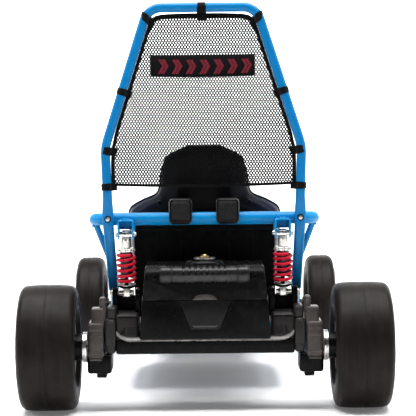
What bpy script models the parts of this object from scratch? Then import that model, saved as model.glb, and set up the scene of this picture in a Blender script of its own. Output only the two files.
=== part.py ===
"""Small electric kart: tube frame, roll hoop with a net, sprung rear swing arm and two driven rear wheels.

Metres, +X to the kart's right, +Y forward, +Z up. The origin is on the floor at the middle of the kart.
"""

import math

import bmesh
import bpy
from mathutils import Vector

# Driving dimensions
GAP = 0.0003
SIDES = (("left", -1), ("right", 1))

REAR_AXLE = Vector((0, -0.467, 0.133))
FRONT_AXLE = Vector((0, 0.383, 0.130))
REAR_WHEEL_X, REAR_TYRE_WIDTH = 0.330, 0.120
FRONT_WHEEL_X, FRONT_TYRE_WIDTH = 0.300, 0.072
BEAD_RADIUS = 0.068
DISC_X, DISC_RADIUS = 0.2494, 0.0325
SHAFT_RADIUS = 0.0115
STUB_RADIUS = 0.008

RAIL_RADIUS = 0.0135
RAIL_Z, RAIL_Y = 0.402, -0.430
RAIL_HALF = 0.2325
HOOP_RADIUS = 0.010
HOOP_Y = RAIL_Y - RAIL_RADIUS - HOOP_RADIUS - GAP
HOOP_BOLT, HOOP_BEND, HOOP_TOP = (0.204, 0.4035), (0.2078, 0.555), (0.114, 0.848)
LEG_FOOT = (0.1965, -0.395, 0.250)
LEG_WIDTH, LEG_THICKNESS = 0.025, 0.014
UPRIGHT_RADIUS = 0.0068
FLOOR_RADIUS, FLOOR_Z = 0.0125, 0.102
FLOOR_HALF, NOSE_HALF = 0.203, 0.130
FLOOR_BACK, FLOOR_FRONT = -0.200, 0.420

PIVOT = Vector((0, -0.250, 0.168))
PIVOT_RADIUS = 0.010
SHOCK_X = 0.166
SHOCK_TOP = Vector((0, -0.461, 0.3715))
SHOCK_FOOT = Vector((0, -0.447, 0.246))
SHOCK_BORE = 0.0055
SPRING_RADIUS, SPRING_WIRE, SPRING_TURNS = 0.0175, 0.0034, 5.5
BOLT_RADIUS = 0.004
EAR_IN, EAR_OUT = 0.1845, 0.1965
BRACKET_HALF, BRACKET_WALL = 0.0165, 0.003

BOX_BACK, BOX_FRONT = -0.535, -0.390
BOX_FLOOR, BOX_SEAM, BOX_TOP = 0.1568, 0.238, 0.308
BEAM_LOW, BEAM_TOP, BEAM_HALF = 0.1225, 0.1565, 0.187
MOTOR_RADIUS, MOTOR_Z = 0.024, 0.1690

COLUMN_FOOT = Vector((0, 0.335, 0.153))
WHEEL_CENTRE = Vector((0, 0.200, 0.385))
STEERING_WHEEL_RADIUS = 0.105
KINGPIN_X = 0.235
TIE_ROD_Y, TIE_ROD_Z = 0.305, 0.1215
PEDAL_PIVOT = Vector((0, 0.440, 0.220))

# Colour, roughness and metallic value of each finish
FINISHES = {
    "blue_paint": ((0.003, 0.135, 0.42), 0.32, 0.0),
    "black_plastic": ((0.012, 0.012, 0.013), 0.45, 0.0),
    "grey_plastic": ((0.045, 0.045, 0.045), 0.5, 0.0),
    "seat_plastic": ((0.010, 0.011, 0.018), 0.4, 0.0),
    "rubber": ((0.020, 0.019, 0.018), 0.75, 0.0),
    "red_paint": ((0.55, 0.01, 0.03), 0.35, 0.0),
    "steel": ((0.60, 0.58, 0.55), 0.3, 1.0),
    "brass": ((0.75, 0.52, 0.20), 0.3, 1.0),
    "mesh_fabric": ((0.015, 0.015, 0.016), 0.9, 0.0),
}


def remove_old_objects():
    for old in list(bpy.data.objects):
        bpy.data.objects.remove(old, do_unlink=True)


def new_collection(name):
    collection = bpy.data.collections.new(name)
    bpy.context.scene.collection.children.link(collection)
    return collection


remove_old_objects()
PARTS = new_collection("kart_chassis")
CUTTERS = new_collection("cutters")


def make_finish(name):
    colour, roughness, metallic = FINISHES[name]
    material = bpy.data.materials.new(name)
    material.use_nodes = True
    shader = material.node_tree.nodes["Principled BSDF"]
    shader.inputs["Base Color"].default_value = (*colour, 1)
    shader.inputs["Roughness"].default_value = roughness
    shader.inputs["Metallic"].default_value = metallic
    material.diffuse_color = (*colour, 1)
    return material


def add_object(name, data, finish=None):
    """Link a new object: a named part with its own material, or a cutter when there is no finish."""
    made = bpy.data.objects.new(name, data)
    if finish is None:
        CUTTERS.objects.link(made)
        made.hide_render = True
        made.display_type = "WIRE"
    else:
        PARTS.objects.link(made)
        material = make_finish(finish)
        material.name = f"{name}_{finish}"
        data.materials.append(material)
    return made


def rounded_path(corners, bend, closed=False, steps=4):
    """The corners joined by straight runs, with an arc of radius bend at each one between two runs."""
    corners = [Vector(c) for c in corners]
    count = len(corners)
    path = []
    for i, corner in enumerate(corners):
        if not closed and i in (0, count - 1):
            path.append(corner)
            continue
        back, ahead = corners[i - 1] - corner, corners[(i + 1) % count] - corner
        turn = back.angle(ahead) / 2
        radius = bend[i] if isinstance(bend, (list, tuple)) else bend
        run = min(radius / math.tan(turn), 0.48 * back.length, 0.48 * ahead.length)
        radius = run * math.tan(turn)
        start, end = corner + back.normalized() * run, corner + ahead.normalized() * run
        centre = corner + (back.normalized() + ahead.normalized()).normalized() * (radius / math.sin(turn))
        for step in range(steps + 1):
            blend = (start - centre).lerp(end - centre, step / steps)
            path.append(centre + blend.normalized() * radius)
    return path


def tube(name, path, radius, finish=None, closed=False, sides=10):
    """A round bar or tube along a path: a bevelled curve with filled caps."""
    curve = bpy.data.curves.new(name, "CURVE")
    curve.dimensions = "3D"
    curve.bevel_depth = radius
    curve.bevel_resolution = (sides - 4) // 2
    curve.use_fill_caps = not closed
    spline = curve.splines.new("POLY")
    spline.points.add(len(path) - 1)
    spline.use_cyclic_u = closed
    for point, place in zip(spline.points, path):
        point.co = (*place, 1)
    return add_object(name, curve, finish)


def as_mesh(source):
    """The welded mesh of a curve object, as a new object that a Boolean can read."""
    bpy.context.view_layer.update()
    evaluated = source.evaluated_get(bpy.context.evaluated_depsgraph_get())
    mesh = bpy.data.meshes.new_from_object(evaluated)
    work = bmesh.new()
    work.from_mesh(mesh)
    bmesh.ops.remove_doubles(work, verts=work.verts, dist=1e-6)
    bmesh.ops.recalc_face_normals(work, faces=work.faces)
    work.to_mesh(mesh)
    work.free()
    name = source.name
    place = source.matrix_world.copy()
    collection = source.users_collection[0]
    hidden, display = source.hide_render, source.display_type
    bpy.data.objects.remove(source, do_unlink=True)
    made = bpy.data.objects.new(name, mesh)
    collection.objects.link(made)
    made.matrix_world = place
    made.hide_render, made.display_type = hidden, display
    return made


def turned(name, profile, centre, direction, finish=None, steps=28, ring=False):
    """A turned solid: (radius, height) points down its outer side, spun about the direction."""
    mesh = bpy.data.meshes.new(name)
    count = len(profile)
    edges = [(i, i + 1) for i in range(count - 1)] + ([(count - 1, 0)] if ring else [])
    mesh.from_pydata([(radius, 0, height) for radius, height in profile], edges, [])
    made = add_object(name, mesh, finish)
    made.location = centre
    made.rotation_mode = "QUATERNION"
    made.rotation_quaternion = Vector((0, 0, 1)).rotation_difference(Vector(direction))
    screw = made.modifiers.new("Turn", "SCREW")
    screw.steps = screw.render_steps = steps
    screw.use_merge_vertices = True
    screw.merge_threshold = 1e-5
    screw.use_smooth_shade = True
    return made


def rod(name, start, end, radius, finish=None, steps=12):
    """A plain round bar between two points."""
    start, end = Vector(start), Vector(end)
    length = (end - start).length
    profile = [(0, length), (radius, length), (radius, 0), (0, 0)]
    return turned(name, profile, start, end - start, finish, steps)


def block(name, low, high, finish=None, bevel=0.0, top=(1.0, 1.0)):
    """A box between two corners, with its top face scaled in X and Y and its edges rounded."""
    low, high = Vector(low), Vector(high)
    work = bmesh.new()
    bmesh.ops.create_cube(work, size=1)
    for vertex in work.verts:
        shrink = top if vertex.co.z > 0 else (1.0, 1.0)
        vertex.co.x *= (high.x - low.x) * shrink[0]
        vertex.co.y *= (high.y - low.y) * shrink[1]
        vertex.co.z *= high.z - low.z
    mesh = bpy.data.meshes.new(name)
    work.to_mesh(mesh)
    work.free()
    made = add_object(name, mesh, finish)
    made.location = (low + high) / 2
    if bevel:
        add_bevel(made, bevel)
    return made


def mirrored(side, low, high):
    """The same box on the kart's left (-1) or right (+1) side, from |x| limits."""
    xs = sorted((side * low[0], side * high[0]))
    return (xs[0], low[1], low[2]), (xs[1], high[1], high[2])


def add_bevel(made, width):
    bevel = made.modifiers.new("Rounded edges", "BEVEL")
    bevel.width = width
    bevel.segments = 1
    bevel.limit_method = "ANGLE"


def plate(name, outline, thickness, centre, rotation, finish=None):
    """A flat outline in its own XY plane, extruded evenly to both sides of that plane."""
    curve = bpy.data.curves.new(name, "CURVE")
    curve.dimensions = "2D"
    curve.fill_mode = "BOTH"
    curve.extrude = thickness / 2
    spline = curve.splines.new("POLY")
    spline.points.add(len(outline) - 1)
    spline.use_cyclic_u = True
    for point, (x, y) in zip(spline.points, outline):
        point.co = (x, y, 0, 1)
    made = add_object(name, curve, finish)
    made.location = centre
    made.rotation_euler = rotation
    return as_mesh(made)


def boolean(target, tool, operation="DIFFERENCE"):
    """Cut, or join with UNION, one mesh with another that moves to the hidden collection."""
    modifier = target.modifiers.new(operation.title(), "BOOLEAN")
    modifier.operation = operation
    modifier.solver = "EXACT"
    modifier.object = tool
    return target


def join(target, *tools):
    for tool in tools:
        boolean(target, tool, "UNION")
    return target


def cut(target, *tools):
    for tool in tools:
        boolean(target, tool)
    return target


def loft(name, sections, thickness, finish):
    """A shell through a row of sections with equal numbers of points."""
    points = [Vector(p) for section in sections for p in section]
    width = len(sections[0])
    faces = []
    for row in range(len(sections) - 1):
        for column in range(width - 1):
            first = row * width + column
            faces.append((first, first + 1, first + width + 1, first + width))
    mesh = bpy.data.meshes.new(name)
    mesh.from_pydata(points, [], faces)
    made = add_object(name, mesh, finish)
    solid = made.modifiers.new("Wall", "SOLIDIFY")
    solid.thickness = thickness
    solid.offset = -1
    return made


# Wheels

def tyre_profile(radius, width):
    """A slick tyre's closed section: bead, bulged wall, flat tread with a centre groove, hollow inside."""
    half = width / 2
    bead = half - 0.0155
    wall = [
        (BEAD_RADIUS, bead), (BEAD_RADIUS + 0.0055, bead + 0.0002), (BEAD_RADIUS + 0.014, half - 0.002),
        (radius - 0.023, half), (radius - 0.006, half - 0.012), (radius, half * 0.35),
        (radius, 0.003), (radius - 0.003, 0.0015),
    ]
    inner = [(BEAD_RADIUS, -bead + 0.008), (radius - 0.013, -half + 0.014)]
    outside = wall + [(r, -z) for r, z in reversed(wall)]
    return outside + inner + [(r, -z) for r, z in reversed(inner)]


def rim_profile(width, hub_in, hub_out, hub_radius, bore):
    """A rim's closed section: barrel with two flanges, a web at its middle and a long hub."""
    seat = width / 2 - 0.0155
    barrel = BEAD_RADIUS - GAP
    return [
        (barrel + 0.005, seat + 0.0063), (barrel + 0.005, seat + 0.0006), (barrel, seat + 0.0004),
        (barrel, -seat - 0.0004), (barrel + 0.005, -seat - 0.0006), (barrel + 0.005, -seat - 0.0063),
        (barrel - 0.005, -seat - 0.0063), (barrel - 0.006, -0.009), (hub_radius + 0.002, -0.012),
        (hub_radius, hub_in), (bore, hub_in), (bore, hub_out), (hub_radius, hub_out),
        (hub_radius + 0.002, 0.006), (barrel - 0.006, 0.007), (barrel - 0.005, seat + 0.0063),
    ]


def make_wheel(label, axle, x, side, width, rim):
    centre = axle + Vector((side * x, 0, 0))
    outward = (side, 0, 0)
    turned(f"{label}_tyre", tyre_profile(axle.z, width), centre, outward, "rubber", steps=24, ring=True)
    turned(f"{label}_rim", rim, centre, outward, "grey_plastic", steps=24, ring=True)


def make_wheels():
    rear_rim = rim_profile(REAR_TYRE_WIDTH, DISC_X + 0.0101 - REAR_WHEEL_X, 0.022, 0.0277, SHAFT_RADIUS + GAP)
    front_rim = rim_profile(FRONT_TYRE_WIDTH, -0.045, 0.020, 0.020, STUB_RADIUS + GAP)
    for name, side in SIDES:
        make_wheel(f"rear_{name}", REAR_AXLE, REAR_WHEEL_X, side, REAR_TYRE_WIDTH, rear_rim)
        make_wheel(f"front_{name}", FRONT_AXLE, FRONT_WHEEL_X, side, FRONT_TYRE_WIDTH, front_rim)


def make_drive_flange(name, side):
    """Output shaft with its silver flange inboard of the hub and its nut outboard."""
    disc_end = DISC_X + 0.0098
    nut = REAR_WHEEL_X + 0.022 + GAP
    profile = [
        (0, nut + 0.014), (0.016, nut + 0.014), (0.016, nut), (SHAFT_RADIUS, nut),
        (SHAFT_RADIUS, disc_end), (DISC_RADIUS, disc_end), (DISC_RADIUS, DISC_X),
        (SHAFT_RADIUS, DISC_X), (SHAFT_RADIUS, DISC_X - 0.023), (0, DISC_X - 0.023),
    ]
    turned(f"drive_flange_{name}", profile, REAR_AXLE, (side, 0, 0), "steel", steps=18)


# Frame

def make_floor_frame():
    z = FLOOR_Z
    left = [(-FLOOR_HALF, FLOOR_BACK, z), (-FLOOR_HALF, 0.10, z), (-NOSE_HALF, 0.27, z),
            (-NOSE_HALF, FLOOR_FRONT, z)]
    corners = left + [(-x, y, height) for x, y, height in reversed(left)]
    path = rounded_path(corners, 0.05, closed=True, steps=3)
    frame = as_mesh(tube("floor_frame", path, FLOOR_RADIUS, "blue_paint", closed=True))
    cross = rod("seat_cross_tube", (-FLOOR_HALF, -0.03, z), (FLOOR_HALF, -0.03, z), 0.0105, steps=10)
    join(frame, cross)
    low = z - FLOOR_RADIUS - GAP
    outline = [(-0.175, -0.18), (0.175, -0.18), (0.175, 0.10), (0.120, 0.26), (0.120, 0.40), (-0.120, 0.40),
               (-0.120, 0.26), (-0.175, 0.10)]
    plate("floor_pan", outline, 0.002, (0, 0, low - 0.001), (0, 0, 0), "black_plastic")


def make_upper_rail():
    """A closed loop round the cockpit: crossbar, side arms and the bar that holds the steering."""
    right = [(RAIL_HALF, RAIL_Y, RAIL_Z), (0.257, 0.02, 0.377), (0.210, 0.265, 0.364)]
    corners = [(-x, y, z) for x, y, z in reversed(right)] + right
    path = rounded_path(corners, [0.09, 0.12, 0.042, 0.042, 0.12, 0.09], closed=True)
    tube("upper_rail", path, RAIL_RADIUS, "blue_paint", closed=True)


def make_uprights():
    for name, side in SIDES:
        corners = [(0.2340, -0.400, RAIL_Z - RAIL_RADIUS - 0.0045), (0.2125, -0.393, 0.335),
                   (0.200, -0.378, 0.300), (0.200, -0.362, 0.262), (FLOOR_HALF, PIVOT.y, PIVOT.z),
                   (FLOOR_HALF, -0.185, FLOOR_Z + FLOOR_RADIUS + 0.0045)]
        path = rounded_path([(side * x, y, z) for x, y, z in corners], 0.025, steps=3)
        tube(f"rear_upright_{name}", path, UPRIGHT_RADIUS, "blue_paint", sides=8)
        start, end = (side * 0.100, 0.276, 0.350), (side * 0.128, 0.338, FLOOR_Z + FLOOR_RADIUS + 0.0025)
        tube(f"front_strut_{name}", [start, end], 0.008, "blue_paint", sides=8)


def flat_bar(name, top, foot):
    """A flattened length of the hoop between two points on its centre line."""
    half = (top - foot).length / 2
    corner = Vector((LEG_WIDTH / 2, LEG_THICKNESS / 2, half))
    bar = block(name, -corner, corner, bevel=0.004)
    bar.location = (top + foot) / 2
    bar.rotation_mode = "QUATERNION"
    bar.rotation_quaternion = Vector((0, 0, 1)).rotation_difference(top - foot)
    return bar


def make_hoop():
    (bolt_x, bolt_z), (bend_x, bend_z), (top_x, top_z) = HOOP_BOLT, HOOP_BEND, HOOP_TOP
    right = [(top_x, HOOP_Y, top_z), (bend_x, HOOP_Y, bend_z), (bolt_x, HOOP_Y, bolt_z + 0.014)]
    corners = [(-x, y, z) for x, y, z in reversed(right)] + right
    path = rounded_path(corners, [0, 0.10, 0.038, 0.038, 0.10, 0], steps=4)
    hoop = as_mesh(tube("roll_hoop", path, HOOP_RADIUS, "blue_paint", sides=8))
    leg_y = RAIL_Y - RAIL_RADIUS - 2 * GAP - LEG_THICKNESS / 2
    face = leg_y - LEG_THICKNESS / 2 - GAP
    shank = LEG_THICKNESS + GAP
    for name, side in SIDES:
        head = Vector((side * bolt_x, leg_y, bolt_z + 0.020))
        knee = Vector((side * (bolt_x - 0.001), leg_y, bolt_z - 0.019))
        foot = Vector((side * LEG_FOOT[0], *LEG_FOOT[1:]))
        join(hoop, flat_bar(f"hoop_pad_{name}", head, knee), flat_bar(f"hoop_leg_{name}", knee, foot))
        start, end = (side * bolt_x, HOOP_Y - 0.03, bolt_z), (side * bolt_x, HOOP_Y + 0.03, bolt_z)
        cut(hoop, rod(f"hoop_hole_{name}", start, end, BOLT_RADIUS + GAP))
        profile = [(0, 0.005), (0.005, 0.0045), (0.0065, 0), (BOLT_RADIUS, 0), (BOLT_RADIUS, -shank),
                   (0, -shank)]
        turned(f"hoop_bolt_{name}", profile, (side * bolt_x, face, bolt_z), (0, -1, 0), "steel", steps=14)


def make_shock_bracket(name, side):
    """An inverted channel behind the crossbar: two cheeks for the shock's top bolt, under a top plate."""
    back, front = SHOCK_TOP.y - 0.016, RAIL_Y - RAIL_RADIUS - GAP
    low, high = 0.359, 0.4025
    x = side * SHOCK_X
    half, wall, beyond = BRACKET_HALF, BRACKET_WALL, 0.01
    bracket = block(f"shock_bracket_{name}", (x - half, back, low), (x + half, front, high), "blue_paint")
    inner = half - wall
    slot = block(f"bracket_slot_{name}", (x - inner, back - beyond, low - beyond),
                 (x + inner, front + beyond, high - wall))
    bolt = SHOCK_TOP + Vector((x, 0, 0))
    reach = Vector((2 * half, 0, 0))
    hole = rod(f"bracket_hole_{name}", bolt - reach, bolt + reach, BOLT_RADIUS + GAP)
    cut(bracket, slot, hole)


def make_front_beam():
    y, z = FRONT_AXLE.y, FRONT_AXLE.z
    beam = rod("front_beam", (-0.203, y, z), (0.203, y, z), 0.0125, "black_plastic", steps=12)
    for name, side in SIDES:
        web = mirrored(side, (0.199, y - 0.014, z - 0.033), (0.206, y + 0.014, z + 0.033))
        high = mirrored(side, (0.204, y - 0.013, z + 0.026), (0.250, y + 0.013, z + 0.032))
        low = mirrored(side, (0.204, y - 0.013, z - 0.032), (0.250, y + 0.013, z - 0.026))
        pin_x = side * KINGPIN_X
        pin = rod(f"kingpin_{name}", (pin_x, y, z - 0.030), (pin_x, y, z + 0.038), 0.0055)
        sizes = (("web", web), ("top", high), ("foot", low))
        arms = [block(f"fork_{label}_{name}", *size) for label, size in sizes]
        join(beam, *arms, pin)


def make_front_bumper():
    right = [(0.105, 0.4335, 0.106), (0.105, 0.470, 0.110), (0.150, 0.545, 0.125), (0.120, 0.589, 0.130)]
    corners = [(-x, y, z) for x, y, z in reversed(right)]
    path = rounded_path(right + corners, [0, 0.03, 0.03, 0.05, 0.05, 0.03, 0.03, 0], steps=3)
    tube("front_bumper", path, 0.011, "blue_paint", sides=8)


def make_frame():
    make_floor_frame()
    make_upper_rail()
    make_uprights()
    make_hoop()
    make_front_beam()
    make_front_bumper()
    for name, side in SIDES:
        make_shock_bracket(name, side)
    end = FLOOR_HALF - UPRIGHT_RADIUS - 0.0015
    rod("pivot_tube", (-end, PIVOT.y, PIVOT.z), (end, PIVOT.y, PIVOT.z), PIVOT_RADIUS, "steel", steps=16)


# Cabin

# Seat stations from the top of the back to the front of the base: place (y, z), half width, side depth
SEAT_STATIONS = (
    ((-0.302, 0.554), 0.036, 0.002), ((-0.3015, 0.545), 0.055, 0.006), ((-0.3005, 0.5352), 0.074, 0.010),
    ((-0.298, 0.5215), 0.0850, 0.014), ((-0.291, 0.488), 0.0950, 0.024), ((-0.2825, 0.458), 0.0985, 0.032),
    ((-0.277, 0.437), 0.1085, 0.040), ((-0.272, 0.4195), 0.1400, 0.050), ((-0.265, 0.395), 0.1680, 0.066),
    ((-0.256, 0.350), 0.170, 0.100), ((-0.243, 0.280), 0.168, 0.105), ((-0.218, 0.205), 0.162, 0.100),
    ((-0.170, 0.146), 0.158, 0.090), ((-0.100, 0.124), 0.158, 0.080), ((-0.010, 0.1205), 0.162, 0.065),
    ((0.060, 0.124), 0.165, 0.040), ((0.085, 0.118), 0.160, 0.018),
)
SEAT_WALL = 0.004


def seat_section(index, columns=10):
    """One crosswise section of the bucket: flat in the middle, with sides that rise towards the driver."""
    (y, z), half, depth = SEAT_STATIONS[index]
    before = SEAT_STATIONS[max(index - 1, 0)][0]
    after = SEAT_STATIONS[min(index + 1, len(SEAT_STATIONS) - 1)][0]
    along = Vector((0, after[0] - before[0], after[1] - before[1])).normalized()
    towards = Vector((0, -along.z, along.y))
    points = []
    for column in range(columns + 1):
        share = 2 * column / columns - 1
        x = half * math.sin(share * math.pi / 2)
        points.append(Vector((x, y, z)) + towards * depth * abs(share) ** 3)
    return points


def make_seat():
    sections = [seat_section(i) for i in range(len(SEAT_STATIONS))]
    loft("seat_shell", sections, SEAT_WALL, "seat_plastic")
    for name, side in SIDES:
        make_seat_clip(name, side)


def make_seat_clip(name, side):
    """A saddle over the crossbar with an arm forward to the seat back."""
    x = side * 0.050
    saddle = block(f"seat_clip_{name}", (x - 0.0245, RAIL_Y - 0.022, 0.3925),
                   (x + 0.0245, RAIL_Y + 0.024, 0.446), "grey_plastic", bevel=0.007)
    bar = rod(f"clip_seat_{name}", (x - 0.04, RAIL_Y, RAIL_Z), (x + 0.04, RAIL_Y, RAIL_Z), RAIL_RADIUS + GAP,
              steps=20)
    arm = block(f"clip_arm_{name}", (x - 0.015, RAIL_Y + 0.020, 0.419), (x + 0.015, -0.2803, 0.433))
    cut(join(saddle, arm), bar)


def make_bulkhead():
    """A back panel with a shelf forward to the seat shell."""
    back, front, low, high, shelf = -0.352, -0.2375, 0.2285, 0.386, 0.004
    outline = [(back, high), (back, low), (front, low), (front, low + shelf), (back + shelf, low + shelf),
               (back + shelf, high)]
    plate("bulkhead", outline, 0.296, (0, 0, 0), (math.pi / 2, 0, math.pi / 2), "black_plastic")


def hoop_inside(z, inset):
    """The hoop's inner edge at a height, moved in by an inset."""
    (bolt_x, bolt_z), (bend_x, bend_z), (top_x, top_z) = HOOP_BOLT, HOOP_BEND, HOOP_TOP
    straight = bolt_x + (bend_x - bolt_x) * (z - bolt_z) / (bend_z - bolt_z)
    slanted = bend_x + (top_x - bend_x) * (z - bend_z) / (top_z - bend_z)
    return min(straight, slanted) - inset


def make_net():
    """The fabric net inside the hoop, as one thin panel."""
    low, shoulder, crown, inset = 0.474, 0.815, 0.8355, HOOP_RADIUS + 0.0045
    heights = [low, 0.510, 0.540, 0.560, 0.640, shoulder]
    right = [(hoop_inside(z, inset), z) for z in heights]
    right += [(0.075, 0.831), (0.040, 0.8345)]
    outline = right + [(0, crown)] + [(-x, z) for x, z in reversed(right)]
    plate("net_panel", outline, 0.004, (0, HOOP_Y, 0), (math.pi / 2, 0, 0), "mesh_fabric")


def make_nose():
    """An arched cover over the pedals and the front beam."""
    stations = ((0.425, 0.150, 0.160, 0.290), (0.470, 0.150, 0.158, 0.276), (0.530, 0.138, 0.156, 0.240),
                (0.575, 0.112, 0.154, 0.200), (0.590, 0.085, 0.153, 0.176))
    sections = []
    for y, half, low, high in stations:
        angles = [math.pi * step / 10 for step in range(11)]
        sections.append([(half * math.copysign(abs(math.cos(a)) ** 0.6, math.cos(a)), y,
                          low + (high - low) * math.sin(a) ** 0.6) for a in angles])
    loft("nose_cover", sections, 0.003, "black_plastic")


def make_cabin():
    make_seat()
    make_bulkhead()
    make_net()
    make_nose()


# Steering and pedals

def column_point(along, up=0.0, across=0.0):
    """A point measured along the steering column, and square to it forward and up."""
    axis = (WHEEL_CENTRE - COLUMN_FOOT).normalized()
    square = Vector((0, axis.z, -axis.y))
    return COLUMN_FOOT + axis * along + square * up + Vector((across, 0, 0))


def column_block(name, along, up, half_width, finish=None):
    """A box square to the steering column, from its extents along and square to the column."""
    axis = (WHEEL_CENTRE - COLUMN_FOOT).normalized()
    made = block(name, (-half_width, up[0], along[0]), (half_width, up[1], along[1]), finish)
    square = Vector((0, axis.z, -axis.y))
    middle = made.location.copy()
    made.location = COLUMN_FOOT + axis * middle.z + square * middle.y
    made.rotation_euler = (math.atan2(square.z, square.y), 0, 0)
    return made


def make_steering():
    axis = (WHEEL_CENTRE - COLUMN_FOOT).normalized()
    length = (WHEEL_CENTRE - COLUMN_FOOT).length
    profile = [(0, length - 0.012), (0.009, length - 0.012), (0.009, 0.002), (0, 0.002)]
    column = turned("steering_column", profile, COLUMN_FOOT, axis, "steel", steps=16)
    join(column, column_block("pitman_arm", (-0.002, 0.003), (-0.048, 0.012), 0.010))
    profile = [(0, 0.014), (0.022, 0.014), (0.026, 0.006), (0.026, -0.0117), (0, -0.0117)]
    hub = turned("steering_wheel", profile, WHEEL_CENTRE, axis, "black_plastic", steps=16)
    radius, ring_steps = STEERING_WHEEL_RADIUS, 24
    turns = [2 * math.pi * step / ring_steps for step in range(ring_steps)]
    ring = [column_point(length + 0.004, radius * math.cos(a), radius * math.sin(a)) for a in turns]
    join(hub, as_mesh(tube("grip_ring", ring, 0.012, closed=True, sides=8)))
    for number, angle in enumerate((90, 180, 270)):
        turn = math.radians(angle)
        up, across = math.cos(turn), math.sin(turn)
        inner = column_point(length + 0.002, 0.018 * up, 0.018 * across)
        outer = column_point(length + 0.004, radius * up, radius * across)
        join(hub, rod(f"spoke_{number}", inner, outer, 0.0065, steps=8))
    make_steering_bracket(axis)
    for name, side in SIDES:
        make_knuckle(name, side)
        make_tie_rod(name, side)


def make_steering_bracket(axis):
    """The bush that carries the column, its lug to the front bar, and the power button on the lug."""
    along = (0.205, 0.235)
    ring = [(0.015, along[1]), (0.015, along[0]), (0.0093, along[0]), (0.0093, along[1])]
    bush = turned("steering_bush", ring, COLUMN_FOOT, axis, "black_plastic", steps=16, ring=True)
    lug = column_block("bush_lug", (along[0], along[1]), (0.0125, 0.0303), 0.016)
    top, button_up = along[1], 0.0245
    start, end = column_point(top - 0.008, button_up), column_point(top + 0.02, button_up)
    bore = rod("button_bore", start, end, 0.0073)
    cut(join(bush, lug), bore)
    start, end = column_point(top - 0.0045, button_up), column_point(top + 0.003, button_up)
    rod("power_button", start, end, 0.0070, "red_paint")


def make_knuckle(name, side):
    """A pivoting block with its stub axle, nut and steering arm, bored for the kingpin."""
    y, z = FRONT_AXLE.y, FRONT_AXLE.z
    block_size = mirrored(side, (0.2215, y - 0.0125, z - 0.0255), (0.2485, y + 0.0125, z + 0.0255))
    knuckle = block(f"knuckle_{name}", *block_size, "grey_plastic")
    hub_end = FRONT_WHEEL_X + 0.020 + GAP
    stub = turned(f"stub_axle_{name}",
                  [(0, hub_end + 0.012), (0.013, hub_end + 0.012), (0.013, hub_end), (STUB_RADIUS, hub_end),
                   (STUB_RADIUS, 0.2545), (0.014, 0.2545), (0.014, 0.2470), (0, 0.2470)],
                  FRONT_AXLE, (side, 0, 0), steps=16)
    low, high = TIE_ROD_Z - 0.0140, TIE_ROD_Z - 0.0073
    arm = block(f"arm_{name}", *mirrored(side, (0.2245, TIE_ROD_Y - 0.009, low), (0.2395, y - 0.010, high)))
    pin_x = side * KINGPIN_X
    pin_hole = rod(f"kingpin_hole_{name}", (pin_x, y, z - 0.04), (pin_x, y, z + 0.04), 0.0058)
    cut(join(knuckle, stub, arm), pin_hole)


def make_tie_rod(name, side):
    outer, inner = side * (KINGPIN_X - 0.003), side * 0.011
    tie = rod(f"tie_rod_{name}", (inner, TIE_ROD_Y - 0.004, TIE_ROD_Z), (outer, TIE_ROD_Y, TIE_ROD_Z), 0.0045,
              "steel", steps=10)
    joint = rod(f"ball_joint_{name}", (outer, TIE_ROD_Y, TIE_ROD_Z - 0.007),
                (outer, TIE_ROD_Y, TIE_ROD_Z + 0.007), 0.0075, steps=10)
    eye = rod(f"inner_eye_{name}", (inner, TIE_ROD_Y - 0.004, TIE_ROD_Z - 0.006),
              (inner, TIE_ROD_Y - 0.004, TIE_ROD_Z + 0.0035), 0.0070, steps=10)
    join(tie, joint, eye)


def make_pedals():
    """Two hanging pedals on one cross rod, the throttle right and the brake left."""
    y, z = PEDAL_PIVOT.y, PEDAL_PIVOT.z
    rod("pedal_rod", (-0.128, y, z), (0.128, y, z), 0.005, "steel", steps=10)
    for name, side in (("brake_pedal", -1), ("throttle_pedal", 1)):
        x = side * 0.062
        sleeve = turned(name, [(0.0095, 0.012), (0.0095, -0.012), (0.0053, -0.012), (0.0053, 0.012)],
                        (x, y, z), (1, 0, 0), "black_plastic", steps=14, ring=True)
        arm = block(f"{name}_arm", (x - 0.006, y - 0.017, z - 0.066), (x + 0.006, y - 0.0065, z - 0.003))
        pad = block(f"{name}_pad", (x - 0.024, y - 0.025, z - 0.090), (x + 0.024, y - 0.016, z - 0.040))
        join(sleeve, arm, pad)


# Rear drive: swing arm, gearboxes, motors and the electronics box

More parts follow.
